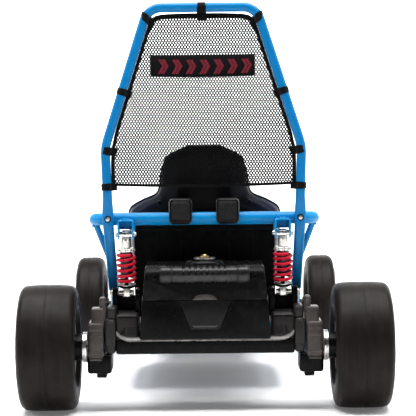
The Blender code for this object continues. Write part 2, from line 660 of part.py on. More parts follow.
def make_carrier():
    """The swing arm: beam with motor bores, shoulders with shock forks, front wall and two pivot arms."""
    carrier = block("swing_arm", (-BEAM_HALF, -0.513, BEAM_LOW), (BEAM_HALF, -0.398, BEAM_TOP),
                    "black_plastic")
    for name, side in SIDES:
        low, high = (0.1400, -0.512, BEAM_TOP - 0.01), (BEAM_HALF - 0.0005, -0.399, 0.206)
        shoulder = block(f"shoulder_{name}", *mirrored(side, low, high))
        inner = block(f"fork_in_{name}", *mirrored(side, (0.1345, -0.463, 0.195), (0.1475, -0.425, 0.256)),
                      bevel=0.003)
        web = block(f"fork_web_{name}", *mirrored(side, (0.1400, -0.4230, 0.195), (0.1860, -0.4180, 0.238)))
        low, high = (0.1860, -0.512, 0.1235), (0.2101, -0.420, 0.1970)
        column = block(f"column_{name}", *mirrored(side, low, high), bevel=0.007)
        low, high = (0.1860, -0.505, 0.1950), (0.2065, -0.432, 0.2220)
        neck = block(f"column_neck_{name}", *mirrored(side, low, high), bevel=0.005)
        outer = block(f"fork_out_{name}", *mirrored(side, (EAR_IN, -0.459, 0.190), (EAR_OUT, -0.435, 0.2575)),
                      bevel=0.003)
        arm = block(f"pivot_arm_{name}", *mirrored(side, (0.095, -0.3840, 0.134), (0.1175, PIVOT.y, 0.180)))
        start, end = (side * 0.090, PIVOT.y, PIVOT.z), (side * 0.121, PIVOT.y, PIVOT.z)
        barrel = rod(f"pivot_barrel_{name}", start, end, 0.018)
        join(carrier, shoulder, column, neck, inner, web, outer, arm, barrel)
    wall = block("front_wall", (-0.118, -0.3862, BEAM_TOP - 0.01), (0.118, -0.3790, 0.295))
    foot = block("wall_foot", (-0.1185, -0.3990, BEAM_LOW + 0.004), (0.1185, -0.3795, BEAM_TOP - 0.001))
    join(carrier, wall, foot)
    pivot_bore = rod("pivot_bore", (-0.2, PIVOT.y, PIVOT.z), (0.2, PIVOT.y, PIVOT.z), PIVOT_RADIUS + GAP,
                     steps=16)
    cut(carrier, pivot_bore)
    for name, side in SIDES:
        bore = rod(f"motor_bore_{name}", (side * 0.1432, REAR_AXLE.y, MOTOR_Z),
                   (side * 0.25, REAR_AXLE.y, MOTOR_Z), MOTOR_RADIUS + GAP, steps=20)
        bolt_bore = rod(f"foot_bolt_bore_{name}", (side * 0.18, SHOCK_FOOT.y, SHOCK_FOOT.z),
                        (side * 0.22, SHOCK_FOOT.y, SHOCK_FOOT.z), BOLT_RADIUS + GAP)
        cut(carrier, bore, bolt_bore)
        make_motor(name, side)
        make_gearbox(name, side)


def make_motor(name, side):
    """A motor can whose end shows at the beam's end."""
    profile = [(0, 0.2085), (0.018, 0.2085), (MOTOR_RADIUS, 0.2035), (MOTOR_RADIUS, 0.1436), (0, 0.1436)]
    turned(f"motor_{name}", profile, (0, REAR_AXLE.y, MOTOR_Z), (side, 0, 0), "steel", steps=20)


def make_gearbox(name, side):
    """The reduction case at the end of the beam, bored for the output shaft."""
    y = REAR_AXLE.y
    main = block(f"gearbox_{name}", *mirrored(side, (0.2124, y - 0.048, 0.100), (0.2465, y + 0.046, 0.190)),
                 "grey_plastic", bevel=0.010)
    foot_size = mirrored(side, (0.1970, y - 0.040, 0.0820), (0.2475, y + 0.040, 0.1215))
    cap_size = mirrored(side, (0.2105, y - 0.044, 0.180), (0.2385, y - 0.006, 0.220))
    lug_size = mirrored(side, (0.2080, y - 0.040, 0.210), (0.2210, y - 0.014, 0.242))
    tab_size = mirrored(side, (0.2080, y - 0.030, 0.0715), (0.2290, y + 0.010, 0.090))
    low = block(f"case_foot_{name}", *foot_size, bevel=0.006)
    cap = block(f"case_cap_{name}", *cap_size, bevel=0.004)
    lug = block(f"case_lug_{name}", *lug_size)
    tab = block(f"case_tab_{name}", *tab_size)
    join(main, low, cap, lug, tab)
    start, end = (side * (DISC_X - 0.0245), y, REAR_AXLE.z), (side * 0.30, y, REAR_AXLE.z)
    bore = rod(f"shaft_bore_{name}", start, end, SHAFT_RADIUS + 0.001, steps=20)
    cut(main, bore)


def make_rear_box():
    """The battery drawer under the electronics housing, with the ribbed roll and its ears on the back."""
    wall = 0.003
    drawer = block("battery_drawer", (-0.1370, BOX_BACK, BOX_FLOOR), (0.1370, BOX_FRONT, BOX_SEAM - GAP),
                   "black_plastic", bevel=0.003, top=(0.955, 1.0))
    inside = block("drawer_inside", (-0.126, BOX_BACK + wall, BOX_FLOOR + wall),
                   (0.126, BOX_FRONT - wall, BOX_SEAM + 0.02))
    recess = block("latch_recess", (-0.058, BOX_BACK - 0.01, 0.1735),
                   (0.058, BOX_BACK + 0.0015, BOX_SEAM + 0.01))
    cut(drawer, recess, inside)
    block("battery_pack", (-0.124, BOX_BACK + 0.009, BOX_FLOOR + wall + GAP),
          (0.124, BOX_FRONT - 0.006, BOX_SEAM - 0.004), "blue_paint", bevel=0.002)
    latch = block("drawer_latch", (-0.030, BOX_BACK - 0.0045, 0.1765),
                  (0.030, BOX_BACK + 0.0012, BOX_SEAM - 0.001), "black_plastic", bevel=0.0015)
    widen_top(latch, 1.8)
    housing = block("housing", (-0.1300, BOX_BACK, BOX_SEAM), (0.1300, BOX_FRONT, BOX_TOP), "black_plastic",
                    bevel=0.004, top=(0.955, 0.985))
    hollow = block("housing_inside", (-0.116, BOX_BACK + 0.030, BOX_SEAM - 0.02),
                   (0.116, BOX_FRONT - wall, BOX_TOP - 0.004))
    roll_y, roll_z = BOX_BACK + 0.007, 0.2905
    groove = rod("roll_groove", (-0.0935, roll_y, roll_z), (0.0935, roll_y, roll_z), 0.0190 + GAP, steps=20)
    cut(housing, hollow, groove)
    roll = rod("ribbed_roll", (-0.067, roll_y, roll_z), (0.067, roll_y, roll_z), 0.0178, "black_plastic",
               steps=20)
    for name, side in SIDES:
        start, end = (side * 0.0665, roll_y, roll_z), (side * 0.0930, roll_y, roll_z)
        join(roll, rod(f"roll_ear_{name}", start, end, 0.0188, steps=20))
    block("controller", (-0.080, BOX_BACK + 0.040, 0.262),
          (0.080, BOX_FRONT - 0.012, BOX_TOP - 0.004 - GAP), "steel")
    stud = [(0, 0.0185), (0.006, 0.0185), (0.0110, 0.0165), (0.0110, 0.0125), (0.0230, 0.0120),
            (0.0230, 0.0095), (0.036, 0.0080), (0.043, 0.0), (0, 0)]
    turned("top_stud", stud, (0, -0.455, BOX_TOP + GAP), (0, 0, 1), "brass", steps=20)


def widen_top(made, factor):
    """Widen a block's top face, so that its outline from behind is a trapezoid."""
    for vertex in made.data.vertices:
        if vertex.co.z > 0:
            vertex.co.x *= factor


# Shocks

def shock_axis():
    return (SHOCK_TOP - SHOCK_FOOT).normalized()


def make_shock(name, side):
    """One spring and damper: the body hangs from the top bolt, the rod stands on the lower bolt."""
    offset = Vector((side * SHOCK_X, 0, 0))
    up, top, foot = shock_axis(), SHOCK_TOP + offset, SHOCK_FOOT + offset
    body = turned(f"shock_body_{name}",
                  [(0, -0.002), (0.010, -0.002), (0.010, -0.030), (0.019, -0.030), (0.019, -0.036),
                   (0.010, -0.036), (0.010, -0.082), (SHOCK_BORE, -0.082), (SHOCK_BORE, -0.012), (0, -0.012)],
                  top, up, "steel", steps=14)
    eye_half = Vector((0.0075, 0, 0))
    eye = rod(f"top_eye_{name}", top - eye_half, top + eye_half, 0.009)
    join(body, eye, *make_bolt(f"top_bolt_{name}", top, (-0.0225, -0.0168), (0.0168, 0.0225)))
    lower = turned(f"shock_rod_{name}",
                   [(0, 0.0925), (0.0042, 0.0925), (0.0042, 0.0182), (0.0195, 0.0182), (0.0185, 0.0125),
                    (0.006, 0.0115), (0.006, 0.002), (0, 0.002)],
                   foot, up, "steel", steps=14)
    foot_eye = rod(f"foot_eye_{name}", foot - eye_half, foot + eye_half, 0.008)
    head = (EAR_OUT - SHOCK_X + GAP, EAR_OUT - SHOCK_X + 0.0055)
    nut = (-0.0155, -0.0100)
    if side < 0:
        head, nut = [tuple(-end for end in reversed(pair)) for pair in (head, nut)]
    join(lower, foot_eye, *make_bolt(f"foot_bolt_{name}", foot, *sorted((head, nut))))
    make_spring(name, foot, up)


def make_bolt(name, centre, left_end, right_end):
    """A cross bolt: its shank, and a head and a nut between the given distances from the centre."""
    across = Vector((1, 0, 0))
    inset = 0.001
    start, end = centre + across * (left_end[0] + inset), centre + across * (right_end[1] - inset)
    shank = rod(name, start, end, BOLT_RADIUS)
    ends = [rod(f"{name}_{label}", centre + across * end[0], centre + across * end[1], 0.0065, steps=10)
            for label, end in (("left", left_end), ("right", right_end))]
    return [shank] + ends


def make_spring(name, foot, up):
    """The coil between the body's collar and the rod's cup."""
    low, high = 0.0184 + SPRING_WIRE, 0.0902 - SPRING_WIRE
    points_per_turn = 10
    total = int(SPRING_TURNS * points_per_turn)
    across, forward = Vector((1, 0, 0)), up.cross(Vector((1, 0, 0)))
    path = []
    for step in range(total + 1):
        angle = 2 * math.pi * step / points_per_turn
        height = low + (high - low) * step / total
        around = across * math.cos(angle) + forward * math.sin(angle)
        path.append(foot + up * height + around * SPRING_RADIUS)
    tube(f"spring_{name}", path, SPRING_WIRE, "red_paint", sides=6)


def main():
    make_frame()
    make_cabin()
    make_wheels()
    make_steering()
    make_pedals()
    make_carrier()
    make_rear_box()
    for name, side in SIDES:
        make_drive_flange(name, side)
        make_shock(name, side)


main()
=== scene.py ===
"""Looks for the kart chassis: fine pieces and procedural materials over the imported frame.

Metres, +X to the kart's right, +Y forward, +Z up. Each piece is modelled in place and rides on its CAD body.
"""

from math import asin, atan2, ceil, copysign, cos, exp, hypot, pi, radians, sin, tan

import bmesh
import bpy
from mathutils import Matrix, Vector, noise


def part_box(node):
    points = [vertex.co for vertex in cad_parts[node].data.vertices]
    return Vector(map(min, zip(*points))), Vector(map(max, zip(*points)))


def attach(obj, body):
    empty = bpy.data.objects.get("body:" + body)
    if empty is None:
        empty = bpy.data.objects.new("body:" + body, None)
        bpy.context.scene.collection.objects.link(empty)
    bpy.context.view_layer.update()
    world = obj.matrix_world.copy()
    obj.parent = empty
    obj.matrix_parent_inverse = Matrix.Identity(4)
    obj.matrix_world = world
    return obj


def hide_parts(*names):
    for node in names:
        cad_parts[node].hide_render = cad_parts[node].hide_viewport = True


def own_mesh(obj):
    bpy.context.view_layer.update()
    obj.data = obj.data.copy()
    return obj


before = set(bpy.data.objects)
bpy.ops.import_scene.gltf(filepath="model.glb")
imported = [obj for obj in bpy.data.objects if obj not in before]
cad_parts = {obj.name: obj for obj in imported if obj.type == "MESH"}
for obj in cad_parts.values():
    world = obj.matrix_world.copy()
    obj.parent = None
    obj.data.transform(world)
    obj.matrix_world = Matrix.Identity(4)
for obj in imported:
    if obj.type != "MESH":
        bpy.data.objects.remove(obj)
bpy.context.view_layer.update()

X, Y, Z = Vector((1, 0, 0)), Vector((0, 1, 0)), Vector((0, 0, 1))
SIDES = (("left", -1), ("right", 1))
CUT, JOIN = "DIFFERENCE", "UNION"
# the radius of a lathed shape's ends on its axis
POINT = 1e-5

REAR_AXLE, FRONT_AXLE = Vector((0, -0.467, 0.133)), Vector((0, 0.383, 0.13))
RAIL_RADIUS, RAIL_Y, RAIL_Z = 0.0135, -0.43, 0.402
HOOP_RADIUS, HOOP_Y = 0.01, -0.4538
HOOP_BOLT, HOOP_BEND, HOOP_TOP = (0.204, 0.4035), (0.2078, 0.555), (0.114, 0.848)
LEG_Y, LEG_FOOT = -0.4511, (0.1965, -0.395, 0.25)
PIVOT = Vector((0, -0.25, 0.168))
SHOCK_X, SHOCK_TOP, SHOCK_FOOT = 0.166, Vector((0, -0.461, 0.3715)), Vector((0, -0.447, 0.246))
BOX_BACK, BOX_FRONT = -0.535, -0.39
BOX_FLOOR, BOX_SEAM, BOX_TOP = 0.1568, 0.238, 0.308
COLUMN_FOOT, WHEEL_CENTRE = Vector((0, 0.335, 0.153)), Vector((0, 0.2, 0.385))


# Materials

class Finish:
    """A Principled material whose colour, roughness and bump come from procedural nodes."""

    def __init__(self, name, **shader):
        self.material = bpy.data.materials.new(name)
        self.material.use_nodes = True
        self.nodes, self.links = self.material.node_tree.nodes, self.material.node_tree.links
        self.shader = self.nodes["Principled BSDF"]
        self.place = self.nodes.new("ShaderNodeTexCoord").outputs["Object"]
        self.bump = None
        self.feed(self.shader, shader)

    def put(self, value, socket):
        if isinstance(value, bpy.types.NodeSocket):
            self.links.new(value, socket)
        else:
            socket.default_value = value

    def feed(self, node, inputs):
        """Set or link a node's inputs, named with _ in place of each space."""
        for key, value in inputs.items():
            self.put(value, node.inputs[key.replace("_", " ")])
        return node

    def add(self, kind, settings=None, **inputs):
        node = self.nodes.new("ShaderNode" + kind)
        for key, value in (settings or {}).items():
            setattr(node, key, value)
        return self.feed(node, inputs)

    def stretched(self, scale):
        return self.add("Mapping", Vector=self.place, Scale=scale).outputs["Vector"]

    def noise(self, scale, detail=4.0, where=None):
        node = self.add("TexNoise", Vector=where or self.place, Scale=scale, Detail=detail, Roughness=0.55)
        return node.outputs["Fac"]

    def wave(self, scale, where=None):
        settings = {"wave_type": "BANDS", "bands_direction": "DIAGONAL"}
        node = self.add("TexWave", settings, Vector=where or self.place, Scale=scale, Detail=1.0)
        return node.outputs["Fac"]

    def spread(self, value, low=0, high=1, start=0.3, end=0.7):
        node = self.add("MapRange", Value=value, From_Min=start, From_Max=end, To_Min=low, To_Max=high)
        return node.outputs["Result"]

    def product(self, first, second):
        node = self.add("Math", {"operation": "MULTIPLY"})
        self.put(first, node.inputs[0])
        self.put(second, node.inputs[1])
        return node.outputs[0]

    def mix(self, share, *colours):
        node = self.add("Mix", {"data_type": "RGBA"})
        self.put(share, node.inputs[0])
        for socket, value in zip((6, 7), colours):
            self.put((*value, 1) if isinstance(value, tuple) else value, node.inputs[socket])
        return node.outputs[2]

    def look(self, colour, rough):
        self.feed(self.shader, {"Base_Color": colour, "Roughness": rough})

    def height(self, value, depth, strength):
        """Add a layer of bump, in metres of height."""
        node = self.add("Bump", Height=value, Distance=depth, Strength=strength)
        if self.bump is not None:
            self.put(self.bump, node.inputs["Normal"])
        self.bump = node.outputs["Normal"]
        self.put(self.bump, self.shader.inputs["Normal"])

    def wear_and_highlight_edges(self, base, wear_and_highlight_colour):
        """Mix in a lighter colour where the surface turns a sharp outward edge: partly wear, partly painted
        highlight.
        """
        point = self.add("NewGeometry").outputs["Pointiness"]
        edge = self.spread(point, 0, 0.6, 0.52, 0.6)
        return self.mix(self.product(edge, self.spread(self.noise(60), 0.2, 1.0, 0.4, 0.6)), base, wear_and_highlight_colour)


def lighter(colour, gain, lift):
    return tuple(c * gain + lift for c in colour)


def painted(name, dark, light, scale=35):
    """Powder coat with faint orange peel and slow colour drift."""
    finish = Finish(name, Coat_Weight=0.03, Coat_Roughness=0.2, Specular_IOR_Level=0.18)
    base = finish.mix(finish.spread(finish.noise(scale)), dark, light)
    chips = finish.spread(finish.noise(520, 2), 0, 0.05, 0.76, 0.82)
    finish.look(finish.mix(chips, base, lighter(light, 1.3, 0.01)),
                finish.spread(finish.noise(140), 0.34, 0.38))
    finish.height(finish.noise(800, 2), 0.0001, 0.05)
    return finish.material


def moulded(name, dark, light, rough, specular=0.34, grain=1500, depth=0.0002):
    """Fine-textured moulded plastic with dusty patches and lighter edges, partly wear and partly painted
    highlight.
    """
    finish = Finish(name, Specular_IOR_Level=specular)
    base = finish.mix(finish.spread(finish.noise(22, 5)), dark, light)
    speckle = finish.spread(finish.noise(grain * 0.8, 2), 0, 0.5, 0.45, 0.75)
    base = finish.mix(speckle, base, lighter(light, 1.5, 0.0004))
    finish.look(finish.wear_and_highlight_edges(base, lighter(light, 2.5, 0.012)), finish.spread(finish.noise(55), *rough))
    finish.height(finish.noise(grain, 3), depth, 0.5)
    return finish.material


def metal(name, dark, light, rough, streaks=(1, 1, 1), scale=180):
    """Plated or machined metal with directional streaks and small stains."""
    finish = Finish(name, Metallic=1.0)
    lines = finish.noise(scale, 5, finish.stretched(streaks))
    base = finish.mix(finish.spread(lines), dark, light)
    stains = finish.spread(finish.noise(30, 6), 0, 0.45, 0.58, 0.75)
    finish.look(finish.mix(stains, base, lighter(dark, 0.55, 0)),
                finish.spread(finish.noise(90, 5, finish.stretched(streaks)), *rough))
    finish.height(lines, 0.00012, 0.5)
    return finish.material


def rubber(name):
    """Slick tyre rubber: warm scuffed tread with fine rings of wear round the wheel."""
    finish = Finish(name, Specular_IOR_Level=0.07)
    bands = finish.noise(120, 4, finish.stretched((1, 0.08, 0.08)))
    base = finish.mix(finish.spread(bands), (0.0056, 0.0044, 0.0039), (0.0108, 0.0086, 0.0076))
    dust = finish.spread(finish.noise(18, 6), 0, 0.6, 0.5, 0.8)
    finish.look(finish.mix(dust, base, (0.02, 0.016, 0.0142)), finish.spread(finish.noise(45, 6), 0.36, 0.5))
    finish.height(finish.noise(900, 3), 0.00025, 0.5)
    finish.height(bands, 0.0003, 0.3)
    return finish.material


def woven(name, dark, light, pitch=900, sheen=0.05, depth=0.0004):
    """Woven or knitted yarn: crossed ribs broken up by fibre noise."""
    finish = Finish(name, Specular_IOR_Level=0.05, Sheen_Weight=sheen)
    yarn = finish.product(finish.wave(pitch), finish.wave(pitch, finish.stretched((-1, 1, 1))))
    fuzz = finish.noise(2600, 3)
    base = finish.mix(finish.spread(yarn, 0, 1, 0.1, 0.8), dark, light)
    finish.look(finish.mix(finish.spread(fuzz, 0, 0.4, 0.5, 0.8), base, lighter(light, 1.6, 0.002)),
                finish.spread(fuzz, 0.7, 0.95))
    finish.height(yarn, depth, 0.7)
    finish.height(fuzz, 0.0001, 0.4)
    return finish.material


def seat_finish():
    """Satin seat shell, black in the middle and navy on its wings."""
    finish = Finish("seat_shell_plastic", Specular_IOR_Level=0.1)
    away = finish.add("Math", {"operation": "ABSOLUTE"})
    finish.put(finish.add("SeparateXYZ", Vector=finish.place).outputs["X"], away.inputs[0])
    patches = finish.spread(finish.noise(25, 5))
    black = finish.mix(patches, (0.0025, 0.0025, 0.0032), (0.0045, 0.0042, 0.0055))
    navy = finish.mix(patches, (0.003, 0.005, 0.014), (0.005, 0.008, 0.022))
    finish.look(finish.mix(finish.spread(away.outputs[0], 0, 1, 0.085, 0.15), black, navy),
                finish.spread(finish.noise(60), 0.28, 0.38))
    finish.height(finish.noise(1300, 3), 0.0002, 0.5)
    return finish.material


def studio_finish(name, specular, glow):
    """Plain pale paper, which glows a little."""
    finish = Finish(name, Specular_IOR_Level=specular, Emission_Color=(1, 1, 1, 1), Emission_Strength=glow)
    pale = finish.mix(finish.spread(finish.noise(3)), (0.95, 0.95, 0.95), (0.97, 0.97, 0.97))
    finish.look(pale, finish.spread(finish.noise(8), 0.8, 0.9))
    return finish.material


BLUE = painted("frame_blue", (0.0002, 0.195, 0.47), (0.0005, 0.22, 0.53))
# the hoop's blue is a darker copy of the frame blue: painted shade
HOOP_BLUE_PAINTED_SHADE = painted("hoop_blue_painted_shade", (0.0002, 0.14, 0.36), (0.0004, 0.16, 0.41))
# a lighter copy of the frame blue for the bracket plates: painted highlight
BLUE_PAINTED_HIGHLIGHT = painted("bracket_blue_painted_highlight", (0.01, 0.3, 0.62), (0.02, 0.34, 0.7))
RED = painted("spring_red_coat", (0.42, 0.001, 0.014), (0.54, 0.002, 0.022), 60)
BUTTON = moulded("button_red", (0.5, 0.01, 0.02), (0.6, 0.02, 0.03), (0.3, 0.4))
BLACK = moulded("black_plastic_grain", (0.0009, 0.0008, 0.0008), (0.0019, 0.0017, 0.0017), (0.22, 0.3), 0.06)
GLOSS_BLACK = moulded("black_plastic_satin", (0.0014, 0.0014, 0.0014), (0.0028, 0.0028, 0.0028), (0.18, 0.26),
                      0.1, 1900, 0.0001)
# a lighter copy of the black plastic for the roll and the saddles: painted highlight
BLACK_PAINTED_HIGHLIGHT = moulded("black_plastic_painted_highlight", (0.004, 0.0038, 0.0038), (0.008, 0.0075, 0.0075),
                      (0.24, 0.32), 0.25)
# a light grey on the black lips and slopes: painted highlight
GREY_PAINTED_HIGHLIGHT = moulded("painted_highlight_plastic", (0.066, 0.061, 0.058), (0.102, 0.095, 0.09), (0.22, 0.3), 0.4)
GREY = moulded("charcoal_plastic", (0.01, 0.009, 0.0088), (0.018, 0.016, 0.0155), (0.32, 0.44), 0.14)
CASTING = moulded("gearbox_casting", (0.026, 0.021, 0.019), (0.052, 0.043, 0.039), (0.26, 0.36), 0.2,
                   700, 0.0004)
DULL_BLACK = moulded("deep_black_plastic", (0.0012, 0.0012, 0.0012), (0.0022, 0.0022, 0.0022),
                      (0.3, 0.4), 0.05)
SLEEVE = moulded("shock_sleeve_navy", (0.002, 0.003, 0.016), (0.004, 0.006, 0.03), (0.25, 0.35))
STEEL = metal("zinc_steel", (0.52, 0.5, 0.46), (0.74, 0.72, 0.68), (0.22, 0.42))
TURNED = metal("turned_steel", (0.5, 0.49, 0.47), (0.72, 0.71, 0.69), (0.2, 0.36), (8, 0.6, 0.6), 220)
BRASS = metal("brass_polished", (0.62, 0.44, 0.16), (0.8, 0.6, 0.26), (0.18, 0.34), (0.5, 0.5, 6))
RIM_GREY = metal("rim_alloy", (0.2, 0.2, 0.2), (0.32, 0.32, 0.31), (0.32, 0.48), (4, 1, 1), 160)
RUBBER = rubber("tyre_rubber")
NET = woven("net_yarn", (0.001, 0.001, 0.0012), (0.003, 0.003, 0.0035), sheen=0.0)
WEBBING = woven("strap_webbing", (0.002, 0.002, 0.0022), (0.005, 0.005, 0.0055), 600, depth=0.0006)
PATCH = woven("patch_cloth", (0.002, 0.002, 0.0025), (0.006, 0.006, 0.007), 1100)
EMBROIDERY = woven("patch_red_thread", (0.16, 0.006, 0.018), (0.3, 0.012, 0.035), 1300, 0.2, 0.0005)
SEAT = seat_finish()
WRAP = moulded("battery_wrap", (0.01, 0.06, 0.2), (0.015, 0.08, 0.25), (0.25, 0.4))


# Shape building

def rounded_path(corners, bend, closed=False, steps=14):
    """The corners joined by straight runs, with an arc of radius bend at each one between two runs."""
    corners = [Vector(c) for c in corners]
    count = len(corners)
    path = []
    for i, corner in enumerate(corners):
        if not closed and i in (0, count - 1):
            path.append(corner)
            continue
        back, ahead = corners[i - 1] - corner, corners[(i + 1) % count] - corner
        turn = back.angle(ahead) / 2
        radius = bend[i] if isinstance(bend, list) else bend
        run = min(radius / tan(turn), 0.48 * back.length, 0.48 * ahead.length)
        radius = run * tan(turn)
        start, end = corner + back.normalized() * run, corner + ahead.normalized() * run
        centre = corner + (back.normalized() + ahead.normalized()).normalized() * (radius / sin(turn))
        for step in range(steps + 1):
            path.append(centre + (start - centre).lerp(end - centre, step / steps).normalized() * radius)
    return path


def resample(path, spacing, closed=False):
    """The same line with a point at least every spacing."""
    made = []
    for a, b in zip(path, path[1:] + ([path[0]] if closed else [])):
        pieces = max(1, ceil((b - a).length / spacing))
        made += [a.lerp(b, i / pieces) for i in range(pieces)]
    return made if closed else made + [path[-1]]


def square_axes(direction):
    """Two unit vectors square to a direction and to each other."""
    direction = Vector(direction).normalized()
    first = direction.cross(X if abs(direction.x) < 0.9 else Y).normalized()
    return first, direction.cross(first).normalized()


def ring_points(centre, direction, radius, count=40):
    u, v = square_axes(direction)
    return [Vector(centre) + (u * cos(a) + v * sin(a)) * radius
            for a in (2 * pi * i / count for i in range(count))]


def mirror_pairs(points):
    """The outline mirrored to the other side, from its end back to its start."""
    return [(-p[0], *p[1:]) for p in reversed(points)]


def facing_back(y):
    """Places a flat outline of (x, z) points upright across the kart."""
    return Matrix(((1, 0, 0, 0), (0, 0, -1, y), (0, 1, 0, 0), (0, 0, 0, 1)))


class Form:
    """A mesh put together from shapes; each shape takes one of the piece's materials."""

    def __init__(self):
        self.mesh = bmesh.new()

    def take(self, verts, faces, finish):
        made = [self.mesh.verts.new(v) for v in verts]
        out = []
        for face in faces:
            try:
                new = self.mesh.faces.new([made[i] for i in face])
            except ValueError:
                continue
            new.material_index = finish
            out.append(new)
        return out

    def rings(self, rings, closed_path=False, closed_ring=True, caps=True, finish=0):
        """Skin a row of equal rings of points, with flat end caps unless the row closes on itself."""
        count = len(rings[0])
        verts = [p for ring in rings for p in ring]
        faces = []
        for row in range(len(rings) if closed_path else len(rings) - 1):
            a, b = row * count, (row + 1) % len(rings) * count
            for i in range(count if closed_ring else count - 1):
                j = (i + 1) % count
                faces.append((a + i, b + i, b + j, a + j))
        if caps and not closed_path and closed_ring:
            faces.append(tuple(range(count)))
            faces.append(tuple(reversed(range(len(verts) - count, len(verts)))))
        return self.take(verts, faces, finish)

    def sweep(self, frames, sides=28, closed=False, power=2.0, finish=0):
        """Skin along frames of (centre, half axis, half axis); a power above 2 squares the section."""
        def bulge(value):
            return copysign(abs(value) ** (2 / power), value)
        angles = [2 * pi * i / sides for i in range(sides)]
        rings = [[centre + u * bulge(cos(a)) + v * bulge(sin(a)) for a in angles]
                 for centre, u, v in frames]
        return self.rings(rings, closed_path=closed, finish=finish)

    def tube(self, path, radius, sides=28, closed=False, finish=0, rounded=0.0):
        """A round tube along a path; radius may be a list with one value a point."""
        path = [Vector(p) for p in path]
        count = len(path)
        radii = radius if isinstance(radius, list) else [radius] * count
        frames = []
        u = None
        for i, point in enumerate(path):
            before = path[i - 1] if i or closed else path[i]
            after = path[(i + 1) % count] if i < count - 1 or closed else path[i]
            along = (after - before).normalized()
            if u is None:
                u = square_axes(along)[0]
            u = (u - along * u.dot(along)).normalized()
            frames.append((point, u * radii[i], along.cross(u) * radii[i]))
        if rounded:
            shrink = 1 - rounded / radii[0]

            def end(at, beside):
                point, u, v = frames[at]
                step = (path[beside] - point).normalized() * rounded
                return [(point + step * reach, u * size, v * size)
                        for reach, size in ((0, shrink), (0.3, (1 + shrink) / 2), (1, 1))]
            frames = end(0, 1) + frames[1:-1] + end(-1, -2)[::-1]
        return self.sweep(frames, sides, closed, finish=finish)

    def rod(self, start, end, radius, sides=28, finish=0, rounded=0.0):
        return self.tube([Vector(start), Vector(end)], radius, sides, finish=finish, rounded=rounded)

    def lathe(self, profile, centre, direction, steps=64, ring=False, finish=0):
        """Spin (radius, height) points about a direction; an open profile gets flat ends."""
        axis = Vector(direction).normalized()
        centre = Vector(centre)
        rings = [ring_points(centre + axis * height, axis, radius, steps) for radius, height in profile]
        return self.rings(rings, closed_path=ring, caps=not ring, finish=finish)

    def box(self, low, high, bevel=0.0015, segments=3, finish=0, top=1.0):
        """A box with rounded edges, its top narrowed across the kart by a share."""
        low, high = Vector(low), Vector(high)
        work = bmesh.new()
        bmesh.ops.create_cube(work, size=1)
        size = high - low
        for vertex in work.verts:
            x, y, z = vertex.co
            narrow = top if z > 0 else 1.0
            vertex.co = Vector((x * size.x * narrow, y * size.y, z * size.z)) + (low + high) / 2
        if bevel:
            bmesh.ops.bevel(work, geom=list(work.edges), offset=bevel, segments=segments, profile=0.5,
                            affect="EDGES", clamp_overlap=True)
        return self.absorb(work, finish)

    def plate(self, outline, thickness, matrix, bevel=0.0006, segments=2, finish=0):
        """A flat outline given thickness evenly to both sides, then placed by a matrix."""
        work = bmesh.new()
        face = work.faces.new([work.verts.new((x, y, -thickness / 2)) for x, y in outline])
        made = bmesh.ops.extrude_face_region(work, geom=[face])
        moved = [g for g in made["geom"] if isinstance(g, bmesh.types.BMVert)]
        bmesh.ops.translate(work, verts=moved, vec=(0, 0, thickness))
        bmesh.ops.recalc_face_normals(work, faces=work.faces)
        if bevel:
            rim = [e for e in work.edges if abs(e.verts[0].co.z - e.verts[1].co.z) < 1e-6]
            bmesh.ops.bevel(work, geom=rim, offset=bevel, segments=segments, profile=0.5, affect="EDGES",
                            clamp_overlap=True)
        work.transform(matrix)
        return self.absorb(work, finish)

    def absorb(self, work, finish):
        work.verts.index_update()
        faces = [[v.index for v in f.verts] for f in work.faces]
        made = self.take([v.co.copy() for v in work.verts], faces, finish)
        work.free()
        return made

    def merge(self, operation, shape, *sizes, **options):
        """CUT a shape out of this form, or JOIN it on; the shape is named like the method that makes it."""
        other = Form()
        getattr(other, shape)(*sizes, **options)
        self.combine(operation, other)

    def combine(self, operation, other):
        objects = []
        for form in (self, other):
            bmesh.ops.recalc_face_normals(form.mesh, faces=form.mesh.faces)
            data = bpy.data.meshes.new("work")
            form.mesh.to_mesh(data)
            for number in range(4):
                name = f"work_slot_{number}"
                data.materials.append(bpy.data.materials.get(name) or bpy.data.materials.new(name))
            made = bpy.data.objects.new("work", data)
            bpy.context.scene.collection.objects.link(made)
            objects.append(made)
        modifier = objects[0].modifiers.new("cut", "BOOLEAN")
        modifier.operation, modifier.solver, modifier.object = operation, "EXACT", objects[1]
        modifier.use_self = False
        bpy.context.view_layer.update()
        graph = bpy.context.evaluated_depsgraph_get()
        result = bpy.data.meshes.new_from_object(objects[0].evaluated_get(graph))
        self.mesh.clear()
        self.mesh.from_mesh(result)
        other.mesh.free()
        for made in objects:
            data = made.data
            bpy.data.objects.remove(made)
            bpy.data.meshes.remove(data)
        bpy.data.meshes.remove(result)

    def done(self, name, body, finishes, replaces=None, sharp=38):
        """Close the form as a piece that rides on a CAD body."""
        bmesh.ops.remove_doubles(self.mesh, verts=self.mesh.verts, dist=2e-6)
        bmesh.ops.recalc_face_normals(self.mesh, faces=self.mesh.faces)
        for face in self.mesh.faces:
            face.smooth = True
        for edge in self.mesh.edges:
            if len(edge.link_faces) == 2:
                edge.smooth = edge.calc_face_angle(0) < radians(sharp)
        data = bpy.data.meshes.new(name)
        self.mesh.to_mesh(data)
        self.mesh.free()
        made = bpy.data.objects.new(name, data)
        bpy.context.scene.collection.objects.link(made)
        for finish in finishes if isinstance(finishes, list) else [finishes]:
            data.materials.append(finish)
        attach(made, body)
        if replaces:
            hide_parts(replaces)
        return made


def mirrored(side, low, high):
    xs = sorted((side * low[0], side * high[0]))
    return (xs[0], low[1], low[2]), (xs[1], high[1], high[2])


